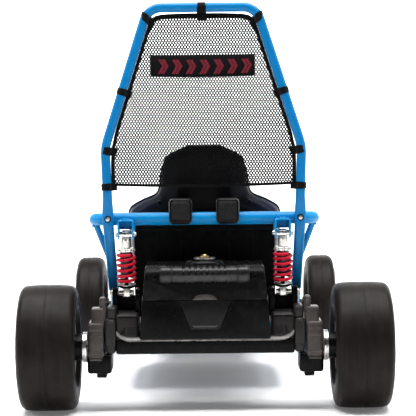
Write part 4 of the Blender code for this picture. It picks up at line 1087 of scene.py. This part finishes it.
def make_drawer():
    form = Form()
    form.box((-0.137, BOX_BACK, BOX_FLOOR), (0.137, BOX_FRONT, BOX_SEAM - 0.0003), 0.0035, 4, top=0.955)
    form.merge(CUT, "box", (-0.126, BOX_BACK + 0.003, BOX_FLOOR + 0.003),
               (0.126, BOX_FRONT - 0.003, BOX_SEAM + 0.02), 0.002)
    outline = [(-0.0315, 0.174), (0.0315, 0.174), (0.0568, 0.245), (-0.0568, 0.245)]
    form.merge(CUT, "plate", outline, 0.003, facing_back(BOX_BACK), 0)
    for side in (-1, 1):
        form.rings([[Vector((side * (start + across), BOX_BACK + depth, z)) for across, depth in (
            (0, 0.001), (0.0005, -0.0005), (0.0015, -0.0005), (0.002, 0.001))]
            for start, z in ((0.033, 0.1735), (0.058, 0.237))])
    form.done("drawer_shell", "drawer", BLACK, "battery_drawer", sharp=32)
    form = Form()
    low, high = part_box("battery_pack")
    form.box(low, high, 0.004, 4)
    for i in range(1, 5):
        z = low.z + (high.z - low.z) * i / 5
        proud = Vector((0.0003, 0.0003, 0.0006))
        form.box(Vector((low.x, low.y, z)) - proud, Vector((high.x, high.y, z)) + proud, 0.0003, 1)
    form.done("battery_wrapped", "drawer", WRAP, "battery_pack", sharp=32)
    form = Form()
    back = BOX_BACK - 0.0045
    outline = [(-0.03, 0.1767), (0.03, 0.1767), (0.0538, 0.2368), (-0.0538, 0.2368)]
    form.plate(outline, 0.0056, facing_back((back + BOX_BACK + 0.0012) / 2), 0.0012, 3)
    lip = []
    for i in range(25):
        swell = min(1, 8 * (1 - abs(2 * i / 24 - 1)))
        lip.append([Vector((-0.0285 + 0.057 * i / 24, back + y, z)) for y, z in (
            (0.0008, 0.1858), (-0.0022 * swell, 0.1836), (-0.0038 * swell, 0.1812), (-0.0034 * swell, 0.179),
            (0.0008, 0.1776))])
    form.rings(lip)
    form.done("latch_plate", "latch", [GLOSS_BLACK], "drawer_latch", sharp=32)
    form = Form()
    low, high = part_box("controller")
    form.box(low, high, 0.002)
    for i in range(13):
        x = low.x + 0.008 + (high.x - low.x - 0.016) * i / 12
        form.box((x - 0.0014, low.y + 0.003, low.z - 0.0028), (x + 0.0014, high.y - 0.003, low.z + 0.001),
                 0.0004, 1)
    form.done("controller_case", "rear_arm", TURNED, "controller")


# Swing arm, gearboxes and motors

def ledge_height(x):
    """Height of the raised lip along the beam's back, which curves up at both ends."""
    share = max(0, (abs(x) - 0.156) / 0.03)
    return 0.1545 + 0.014 * min(1, share) ** 2.2


def make_carrier():
    """The swing arm: a beam with two motor ends, two pivot arms and a raised lip along its back."""
    form = Form()
    form.box((-0.187, -0.513, 0.1225), (0.187, -0.398, 0.1565), 0.0055, 4)
    # low corner, high corner, bevel and finish of each block joined on, the later ones on both sides
    blocks = [((-0.118, -0.3862, 0.147), (0.118, -0.379, 0.295), 0.002, 0),
              ((-0.1185, -0.399, 0.1265), (0.1185, -0.3795, 0.1555), 0.001, 0)]
    for _, side in SIDES:
        blocks += [(*mirrored(side, low, high), bevel, finish) for low, high, bevel, finish in (
            ((0.14, -0.512, 0.1465), (0.1865, -0.399, 0.206), 0.006, 3),
            ((0.186, -0.512, 0.1235), (0.2101, -0.42, 0.197), 0.0095, 3),
            ((0.186, -0.505, 0.193), (0.2065, -0.432, 0.222), 0.007, 3),
            ((0.1345, -0.463, 0.195), (0.1475, -0.425, 0.256), 0.004, 0),
            ((0.14, -0.423, 0.195), (0.186, -0.418, 0.238), 0.0015, 0),
            ((0.1845, -0.459, 0.19), (0.1965, -0.435, 0.2575), 0.0028, 0),
            ((0.095, -0.384, 0.134), (0.1175, PIVOT.y, 0.18), 0.003, 0))]
    for low, high, bevel, finish in blocks:
        form.merge(JOIN, "box", low, high, bevel, 5, finish=finish)
    for _, side in SIDES:
        form.merge(JOIN, "rod", PIVOT + X * side * 0.09, PIVOT + X * side * 0.121, 0.018, 40, rounded=0.0015)
    form.merge(CUT, "rod", PIVOT - X * 0.2, PIVOT + X * 0.2, 0.0103, 32)
    for _, side in SIDES:
        for start, end, spot, radius in ((0.1432, 0.25, (REAR_AXLE.y, 0.169), 0.0243),
                                         (0.18, 0.22, (SHOCK_FOOT.y, SHOCK_FOOT.z), 0.0043)):
            form.merge(CUT, "rod", (side * start, *spot), (side * end, *spot), radius, 40)
    # the lip takes the light grey, a painted highlight along it
    lip = []
    for i in range(97):
        x = -0.1855 + 0.371 * i / 96
        out = 0.002 if abs(abs(x) - 0.026) < 0.003 or abs(x + 0.062) < 0.002 else 0.0052
        lip.append([Vector((x, y, ledge_height(x) + rise)) for y, rise in (
            (-0.5105, 0.0046), (-0.5125 - out * 0.5, 0.0026), (-0.513 - out, -0.0016),
            (-0.5125 - out, -0.0034), (-0.5105, -0.006))])
    form.rings(lip, finish=2)
    for _, side in SIDES:
        for row in range(4):
            for column in range(4):
                x, z, half = 0.148 + column * 0.0044, 0.166 + row * 0.0042, 0.0014
                low, high = (x - half, -0.513, z - half), (x + half, -0.5112, z + half)
                form.box(*mirrored(side, low, high), 0.0004, 1)
        form.rings([[Vector((side * x, y, z)) for x, z in (
            (0.1675 - grow, 0.1655 - grow), (0.179 + grow, 0.1655 - grow), (0.1675 - grow, 0.1815 + grow))]
            for y, grow in ((-0.5112, 0.001), (-0.5128, 0.0))], finish=1)
        form.box(*mirrored(side, (0.144, -0.5135, 0.1985), (0.183, -0.5105, 0.2025)), 0.0012, 2)
        for low, high, bevel, finish in (((0.188, -0.5135, 0.142), (0.208, -0.5105, 0.19), 0.006, 3),
                                         ((0.1885, -0.507, 0.1985), (0.204, -0.503, 0.219), 0.005, 3),
                                         ((0.1362, -0.4655, 0.208), (0.146, -0.462, 0.244), 0.003, 0)):
            form.box(*mirrored(side, low, high), bevel, 5, finish=finish)
    form.done("arm_casting", "rear_arm", [BLACK, DULL_BLACK, GREY_PAINTED_HIGHLIGHT, GREY], "swing_arm",
              sharp=32)


def make_drive():
    y, z = REAR_AXLE.y, REAR_AXLE.z
    for name, side in SIDES:
        outward = X * side
        form = Form()
        form.box(*mirrored(side, (0.2124, y - 0.048, 0.112), (0.2465, y + 0.046, 0.19)), 0.008, 5)
        # the two lower blocks take plain black under the grey casting above: painted shade on the case's
        # underside
        for low, high, bevel, finish in (
                ((0.197, y - 0.044, 0.082), (0.2475, y + 0.04, 0.1235), 0.006, 2),
                ((0.2105, y - 0.044, 0.18), (0.2385, y - 0.006, 0.22), 0.005, 0),
                ((0.208, y - 0.04, 0.206), (0.221, y - 0.014, 0.242), 0.0045, 0),
                ((0.208, y - 0.03, 0.0715), (0.229, y + 0.01, 0.09), 0.003, 2)):
            form.merge(JOIN, "box", *mirrored(side, low, high), bevel, 4, finish=finish)
        form.merge(CUT, "rod", REAR_AXLE + outward * 0.2249, REAR_AXLE + outward * 0.3, 0.0125, 40)
        for rib in (0.112, 0.126, 0.16, 0.174):
            low, high = (0.217, y - 0.0494, rib - 0.0016), (0.2425, y - 0.0465, rib + 0.0016)
            form.box(*mirrored(side, low, high), 0.0008, 2)
        form.lathe([(0.0128, 0.0), (0.0128, 0.003), (0.015, 0.0036), (0.0205, 0.003), (0.0225, 0.0)],
                   REAR_AXLE + outward * 0.245, outward, 48, ring=True)
        for bolt_x, depth, bolt_z, hexagon in ((0.216, 0.047, 0.1245, True), (0.24, 0.047, 0.1245, True),
                                               (0.201, 0.0395, 0.115, False)):
            bolt_head(form, (side * bolt_x, y - depth, bolt_z), -Y, 0.0032, 0.0028, hexagon=hexagon)
        low, high = (0.1985, y - 0.0412, 0.117), (0.23, y - 0.0385, 0.1212)
        form.box(*mirrored(side, low, high), 0.0006, 2, finish=1)
        bolt_head(form, (side * 0.2145, y - 0.0398, 0.23), -Y, 0.0034, 0.0024, hexagon=False)
        form.done(f"gearbox_case_{name}", "rear_arm", [CASTING, STEEL, BLACK],
                  f"gearbox_{name}", sharp=32)
        form = Form()
        form.lathe([(POINT, 0.1436), (0.0235, 0.1436), (0.024, 0.1441), (0.024, 0.186), (0.0236, 0.1866),
                    (0.0236, 0.188), (0.024, 0.1886), (0.024, 0.201), (0.0232, 0.204), (0.02, 0.207),
                    (0.0175, 0.2084), (POINT, 0.2084)], (0, y, 0.169), outward, 56)
        form.done(f"motor_can_{name}", "rear_arm", CASTING, f"motor_{name}")
        form = Form()
        disc, nut = 0.2494, 0.3523
        plates = ((0.0318, 0), (0.0325, 0.0008), (0.0325, 0.004), (0.0318, 0.0046), (0.0318, 0.0054),
                  (0.0325, 0.006), (0.0325, 0.0092), (0.0318, 0.0098), (0.0115, 0.0098))
        form.lathe([(POINT, disc - 0.023), (0.011, disc - 0.023), (0.0115, disc - 0.0225), (0.0115, disc)]
                   + [(radius, disc + height) for radius, height in plates]
                   + [(0.0115, nut), (0.0115, nut + 0.0165), (POINT, nut + 0.017)], REAR_AXLE, outward, 72)
        bolt_head(form, REAR_AXLE + outward * nut, outward, 0.0128, 0.011, finish=1)
        for i in range(6):
            a = radians(60 * i + 30)
            spot = Vector((side * (disc - 0.0002), y + 0.0235 * cos(a), z + 0.0235 * sin(a)))
            bolt_head(form, spot, -outward, 0.003, 0.0026, hexagon=False, washer=False)
        form.done(f"drive_disc_{name}", f"rear_wheel_{name}", [TURNED, STEEL],
                  f"drive_flange_{name}", sharp=35)


# Shocks

SHOCK_UP = (SHOCK_TOP - SHOCK_FOOT).normalized()
SHOCK_AHEAD = SHOCK_UP.cross(X)
SPRING_LOW, SPRING_HIGH = 0.0184, 0.0902


def slotted_collar(form, centre, axis, radius, height, slots=10, bore=0.0075):
    """A ring nut with square notches round its edge."""
    steps = slots * 6
    rings = []
    for up, share in ((0, 0.97), (0.0005, 1.0), (height - 0.0005, 1.0), (height, 0.97)):
        middle = centre + axis * up
        notched = [0.86 if i % 6 in (0, 1) else 1.0 for i in range(steps)]
        edge = ring_points(middle, axis, radius * share, steps)
        rings.append([middle + (point - middle) * depth for point, depth in zip(edge, notched)])
    rings += [ring_points(centre + axis * up, axis, bore, steps) for up in (height, 0)]
    form.rings(rings, closed_path=True)


def make_shocks():
    for name, side in SIDES:
        outward = X * side
        top, foot = SHOCK_TOP + outward * SHOCK_X, SHOCK_FOOT + outward * SHOCK_X
        upper, lower = f"shock_upper_{name}", f"shock_lower_{name}"
        form = Form()
        form.lathe([(POINT, -0.012), (0.0055, -0.012), (0.0055, -0.082), (0.0096, -0.082), (0.01, -0.0814),
                    (0.01, -0.05), (0.0094, -0.0494), (0.0094, -0.036), (0.01, -0.0354), (0.01, -0.016),
                    (0.0096, -0.01), (0.008, -0.005), (POINT, -0.004)], top, SHOCK_UP, 48)
        form.lathe([(0.0098, -0.038), (0.013, -0.038), (0.013, -0.0858), (0.0126, -0.0864),
                    (0.0098, -0.0864)], top, SHOCK_UP, 48, ring=True, finish=1)
        slotted_collar(form, top - SHOCK_UP * 0.036, SHOCK_UP, 0.019, 0.0034)
        slotted_collar(form, top - SHOCK_UP * 0.0318, SHOCK_UP, 0.0172, 0.0026, 8)
        form.rod(top - X * 0.0075, top + X * 0.0075, 0.009, 40, rounded=0.0008)
        form.rod(top - X * 0.013, top + X * 0.013, 0.0062, 32)
        form.box(top + Vector((-0.0062, -0.008, -0.0165)), top + Vector((0.0062, 0.008, -0.004)), 0.0016)
        for way in (-1, 1):
            bolt_head(form, top + X * way * 0.017, X * way, 0.0052, 0.0054, hexagon=way == side)
        form.rod(top - X * 0.0172, top + X * 0.0172, 0.0039, 24)
        form.done(f"shock_body_steel_{name}", upper, [STEEL, SLEEVE], f"shock_body_{name}", sharp=32)
        make_coil(name, foot, upper)
        form = Form()
        form.lathe([(POINT, 0.002), (0.0058, 0.0022), (0.006, 0.0115), (0.0042, 0.015), (0.0042, 0.0875),
                    (0.0038, 0.088), (POINT, 0.088)], foot, SHOCK_UP, 32)
        form.lathe([(0.0042, 0.0182), (0.0186, 0.0182), (0.0195, 0.0176), (0.0195, 0.016), (0.019, 0.0148),
                    (0.015, 0.0118), (0.01, 0.01), (0.006, 0.0094), (0.0042, 0.0094)],
                   foot, SHOCK_UP, 56, ring=True)
        form.lathe([(0.0186, 0.01815), (0.0193, 0.0182), (0.0193, 0.019), (0.0186, 0.019)],
                   foot, SHOCK_UP, 48, ring=True, finish=1)
        form.box(foot + Vector((-0.0074, -0.0085, -0.0082)), foot + Vector((0.0074, 0.0085, 0.0105)), 0.0016,
                 finish=1)
        form.rod(foot - X * 0.01, foot + X * 0.01, 0.0064, 32, finish=1, rounded=0.0006)
        form.rod(foot - outward * 0.015, foot + outward * 0.035, 0.0039, 24, finish=1)
        bolt_head(form, foot - outward * 0.01, -outward, 0.0052, 0.005, finish=1)
        bolt_head(form, foot + outward * 0.0308, outward, 0.0052, 0.005, finish=1)
        form.rod(foot + outward * 0.01, foot + outward * 0.0182, 0.0055, 24, finish=1, rounded=0.0008)
        form.done(f"shock_rod_steel_{name}", lower, [GLOSS_BLACK, STEEL],
                  f"shock_rod_{name}", sharp=32)


def make_coil(name, foot, upper):
    """The coil spring between the shock's foot and its collar, carried on the upper body."""
    wire, radius, turns, per_turn = 0.0034, 0.0175, 5.6, 40
    low, high = SPRING_LOW + wire, SPRING_HIGH - wire
    total = int(turns * per_turn)
    path = []
    for i in range(total + 1):
        share = i / total
        a = 2 * pi * turns * share + pi / 2
        flat = min(1, share / 0.14) * min(1, (1 - share) / 0.14)
        height = low + (high - low) * (0.5 + (share - 0.5) * (0.92 + 0.08 * flat))
        path.append(foot + SHOCK_UP * height + (X * cos(a) + SHOCK_AHEAD * sin(a)) * radius)
    form = Form()
    form.tube(path, wire, 16, rounded=0.0008)
    coil = form.done(f"coil_{name}", upper, RED, f"spring_{name}", sharp=60)
    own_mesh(coil)


# Wheels

BEAD = 0.0155


def tyre_section(radius, width):
    """A slick tyre's section from bead to bead, with wall rings, rounded shoulders and a centre groove."""
    half = width / 2
    bead, bead_radius, shoulder, groove = half - BEAD, 0.068, 0.015, 0.0008
    points = [(bead_radius, bead), (0.0735, bead + 0.0003), (0.0752, half - 0.0105), (0.079, half - 0.005),
              (0.084, half - 0.0018), (0.085, half - 0.0002), (0.0862, half - 0.0002), (0.087, half - 0.0014),
              (0.093, half - 0.0006), (radius - 0.03, half), (radius - 0.0262, half),
              (radius - 0.0255, half + 0.0006), (radius - 0.024, half + 0.0006), (radius - 0.0233, half),
              (radius - 0.02, half - 0.0005)]
    for i in range(1, 11):
        a = pi / 2 * i / 10
        points.append((radius - 0.0205 + 0.0187 * sin(a), half - shoulder - 0.0005 + shoulder * cos(a)))
    points += [(radius - 0.0009, half * 0.62), (radius - 0.0002, half * 0.4), (radius, 0.0024),
               (radius - 0.0002, 0.0015), (radius - groove, 0.0009), (radius - groove, 0.0004)]
    inner = [(bead_radius, -bead + 0.008), (radius - 0.013, -half + 0.014)]
    return points + [(r, -z) for r, z in reversed(points)] + inner + [(r, -z) for r, z in reversed(inner)]


def rim_section(width, hub_in, hub_out, hub_radius, bore):
    """A rim's section: barrel with two flanges, web and hub."""
    seat, barrel = width / 2 - BEAD, 0.0677
    flange = [(0.0042, 0.0063), (0.005, 0.0055), (0.005, 0.0006), (0, 0.0004)]
    return [
        *((barrel + out, seat + along) for out, along in flange),
        *((barrel + out, -seat - along) for out, along in reversed(flange)),
        (barrel - 0.0042, -seat - 0.0063), (barrel - 0.005, -seat - 0.0055), (barrel - 0.0055, -0.014),
        (barrel - 0.009, -0.0098), (hub_radius + 0.008, -0.011), (hub_radius + 0.0022, -0.0135),
        (hub_radius, -0.018), (hub_radius, hub_in + 0.001), (hub_radius - 0.001, hub_in), (bore, hub_in),
        (bore, hub_out), (hub_radius - 0.0012, hub_out), (hub_radius, hub_out - 0.0012),
        (hub_radius + 0.0004, 0.0095), (hub_radius + 0.004, 0.0062), (barrel - 0.0095, 0.0072),
        (barrel - 0.006, 0.011), (barrel - 0.005, seat + 0.0055), (barrel - 0.0042, seat + 0.0063),
    ]


def make_wheel(label, body, centre, side, radius, width, rim):
    outward = X * side

    def around(degrees, distance, out):
        a = radians(degrees)
        return centre + (Y * cos(a) + Z * sin(a)) * distance + outward * out
    form = Form()
    form.lathe(tyre_section(radius, width), centre, outward, 112, ring=True)
    form.done(f"{label}_tyre_rubber", body, RUBBER, f"{label}_tyre", sharp=28)
    form = Form()
    for face in form.lathe(rim, centre, outward, 72, ring=True):
        spot = face.calc_center_median() - centre
        along = spot.dot(outward)
        # the hub's inner end is black
        if along < -0.01 and (spot - outward * along).length < 0.034:
            face.material_index = 2
    pockets = Form()
    for turn in range(6):
        pockets.rod(around(60 * turn, 0.0455, 0.003), around(60 * turn, 0.0455, 0.025), 0.0122, 24)
    form.combine(CUT, pockets)
    for turn in range(6):
        bolt_head(form, around(60 * turn + 30, 0.042, 0.0062), outward, 0.0034, 0.0034, finish=1)
    form.rod(around(30, 0.0585, 0.006), around(30, 0.0585, 0.022), 0.0022, 16, finish=2, rounded=0.0006)
    form.done(f"{label}_rim_alloy", body, [RIM_GREY, STEEL, GLOSS_BLACK], f"{label}_rim",
              sharp=30)


def make_wheels():
    rear = rim_section(0.12, -0.0705, 0.022, 0.0277, 0.0118)
    front = rim_section(0.072, -0.045, 0.02, 0.02, 0.0083)
    for name, side in SIDES:
        for end, centre, radius, width, rim in (("rear", REAR_AXLE + X * side * 0.33, 0.133, 0.12, rear),
                                                ("front", FRONT_AXLE + X * side * 0.3, 0.13, 0.072, front)):
            make_wheel(f"{end}_{name}", f"{end}_wheel_{name}", centre, side, radius, width, rim)


# Front end

def make_steering_wheel():
    axis = (WHEEL_CENTRE - COLUMN_FOOT).normalized()
    up, centre, steps = Vector((0, axis.z, -axis.y)), WHEEL_CENTRE + axis * 0.004, 96
    turns = [2 * pi * i / steps for i in range(steps)]
    form = Form()
    form.tube([centre + (up * cos(a) + X * sin(a)) * 0.105 for a in turns],
              [0.0118 + 0.0005 * cos(6 * a) for a in turns], 24, closed=True)
    form.lathe([(POINT, 0.014), (0.018, 0.014), (0.0215, 0.0132), (0.0245, 0.01), (0.026, 0.0055),
                (0.026, -0.0105), (0.0248, -0.0117), (POINT, -0.0117)], WHEEL_CENTRE, axis, 48)
    for angle in (90, 180, 270):
        a = radians(angle)
        out = up * cos(a) + X * sin(a)
        start, end = WHEEL_CENTRE + axis * 0.002 + out * 0.018, centre + out * 0.1
        form.sweep([(start.lerp(end, i / 12), axis.cross(out) * (0.0105 - 0.0035 * sin(pi * i / 12)),
                     axis * 0.0048) for i in range(13)], 24, power=3)
    form.done("steering_grip", "steering", BLACK, "steering_wheel", sharp=40)


def make_nose():
    """A thin tapering cover over the front of the floor frame."""
    # y, half width, foot and top of each section from the back to the tip
    stations = ((0.425, 0.15, 0.16, 0.29), (0.47, 0.15, 0.158, 0.276), (0.53, 0.138, 0.156, 0.24),
                (0.575, 0.112, 0.154, 0.2), (0.59, 0.085, 0.153, 0.176))
    rows, columns = 32, 44
    form = Form()
    skins = []
    for inset in (0, 0.003):
        skin = []
        for row in range(rows + 1):
            share = row / rows
            y, half, low, high = curve_at(stations, share)
            section = []
            for i in range(columns + 1):
                a = pi * i / columns
                c, s = cos(a), sin(a)
                crease = 0.0016 * exp(-((abs(c) - 0.55) / 0.05) ** 2)
                section.append(Vector(((half - inset) * copysign(abs(c) ** 0.6, c), y - inset * 0.3 * share,
                                       low + (high - inset - low) * s ** 0.6 - crease)))
            skin.append(section)
        skins.append(skin)
    for skin in skins:
        form.rings(skin, closed_ring=False)
    form.rings([border(skin) for skin in skins], caps=False)
    form.done("nose_shell", "frame", GLOSS_BLACK, "nose_cover", sharp=45)


def make_knuckles():
    y, z = FRONT_AXLE.y, FRONT_AXLE.z
    for name, side in SIDES:
        form = Form()
        low, high = (0.2215, y - 0.0125, z - 0.0255), (0.2485, y + 0.0125, z + 0.0255)
        form.box(*mirrored(side, low, high), 0.003, 4)
        form.merge(JOIN, "box", *mirrored(side, (0.2245, 0.296, 0.1075), (0.2395, y - 0.009, 0.1142)), 0.0015)
        stub = [(POINT, 0.247), (0.014, 0.247), (0.014, 0.254), (0.0135, 0.2545), (0.008, 0.2545),
                (0.008, 0.3203), (0.008, 0.333), (0.0074, 0.3336), (POINT, 0.3336)]
        form.merge(JOIN, "lathe", stub, FRONT_AXLE, X * side, 40)
        form.merge(CUT, "rod", (side * 0.235, y, z - 0.04), (side * 0.235, y, z + 0.04), 0.0058, 32)
        bolt_head(form, (side * 0.3203, y, z), X * side, 0.0105, 0.01, finish=1)
        form.done(f"knuckle_block_{name}", f"knuckle_{name}", [CASTING, STEEL],
                  f"knuckle_{name}", sharp=32)


def refine_cad_nodes():
    """Give the CAD nodes that stay a detailed material and rounded edges."""
    for node, finish, slot, bevel in (
            ("floor_pan", BLACK, "black_plastic", 0.0006), ("pivot_tube", STEEL, "steel", 0.0004),
            ("front_beam", BLACK, "black_metal", 0.0008), ("steering_bush", BLACK, "black_plastic", 0.0006),
            ("pedal_rod", STEEL, "steel", 0.0004), ("power_button", BUTTON, "black_plastic", 0.0006),
            ("steering_column", STEEL, "steel", 0.0005), ("brake_pedal", BLACK, "black_plastic", 0.0008),
            ("throttle_pedal", BLACK, "black_plastic", 0.0008), ("tie_rod_left", STEEL, "steel", 0.0004),
            ("tie_rod_right", STEEL, "steel", 0.0004)):
        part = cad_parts[node]
        part.data.materials.clear()
        part.data.materials.append(finish)
        edge = part.modifiers.new("Rounded edges", "BEVEL")
        edge.width, edge.segments, edge.limit_method = bevel, 2, "ANGLE"
        edge.angle_limit = radians(40)


# Studio

def make_studio():
    """A pale floor that meets a lit white backdrop ahead of the kart, which curves up."""
    half_width, bend, bend_y, height = 9, 1.2, 6.0, 6.0
    backdrop = [(3.0, 0.0), (bend_y, 0.0)]
    for i in range(1, 13):
        a = pi / 2 * i / 12
        backdrop.append((bend_y + bend * sin(a), bend - bend * cos(a)))
    backdrop.append((bend_y + bend, height))
    for name, line, specular, glow in (("studio_floor", [(-9.0, 0.0), (3.0, 0.0)], 0.1, 0.12),
                                       ("studio_backdrop", backdrop, 0.0, 1.4)):
        work = bmesh.new()
        rows = [[work.verts.new((x, y, z)) for x in (-half_width, half_width)] for y, z in line]
        for a, b in zip(rows, rows[1:]):
            work.faces.new((a[0], a[1], b[1], b[0])).smooth = True
        data = bpy.data.meshes.new(name)
        work.to_mesh(data)
        work.free()
        data.materials.append(studio_finish(name, specular, glow))
        sheet = bpy.data.objects.new(name, data)
        bpy.context.scene.collection.objects.link(sheet)


def add_light(name, place, target, size, energy):
    data = bpy.data.lights.new(name, "AREA")
    data.shape, data.size, data.size_y, data.energy = "RECTANGLE", *size, energy
    light = bpy.data.objects.new(name, data)
    light.location = place
    light.rotation_euler = (Vector(target) - Vector(place)).to_track_quat("-Z", "Y").to_euler()
    bpy.context.scene.collection.objects.link(light)


def make_lights():
    add_light("overhead_softbox", (0, -0.2, 3.2), (0, -0.1, 0.2), (4.2, 2.6), 280)
    add_light("rear_high_softbox", (0, -1.5, 3.3), (0, -0.4, 0.3), (3.6, 0.5), 60)
    for name, side in SIDES:
        add_light(f"{name}_softbox", (side * 3.0, -0.4, 1.8), (0, -0.2, 0.3), (1.2, 2.0), 34)
    world = bpy.data.worlds.new("studio_air")
    world.use_nodes = True
    air = world.node_tree.nodes["Background"]
    air.inputs["Color"].default_value = (1, 1, 1, 1)
    air.inputs["Strength"].default_value = 0.03
    bpy.context.scene.world = world
    bpy.context.scene.view_settings.view_transform = "Standard"


def make_camera():
    data = bpy.data.cameras.new("photo_view")
    data.sensor_width, data.lens, data.clip_end = 36.0, 139.6, 60
    distance, height, aside = 3.4, 0.58, 0.0084
    pitch, roll = radians(-2.6), radians(-0.6)
    camera = bpy.data.objects.new("photo_view", data)
    camera.location = (aside, REAR_AXLE.y - distance, height)
    look = Matrix.Rotation(pi / 2 + pitch, 4, "X") @ Matrix.Rotation(roll, 4, "Z")
    camera.rotation_euler = look.to_euler()
    bpy.context.scene.collection.objects.link(camera)
    bpy.context.scene.camera = camera


for make in (make_upper_rail, make_uprights, make_floor_frame, make_front_bumper, make_hoop, make_brackets,
             make_net, make_seat, make_clips, make_bulkhead, make_housing, make_roll, make_stud, make_drawer,
             make_carrier, make_drive, make_shocks, make_wheels, make_steering_wheel, make_nose, make_knuckles,
             refine_cad_nodes, make_studio, make_lights, make_camera):
    make()
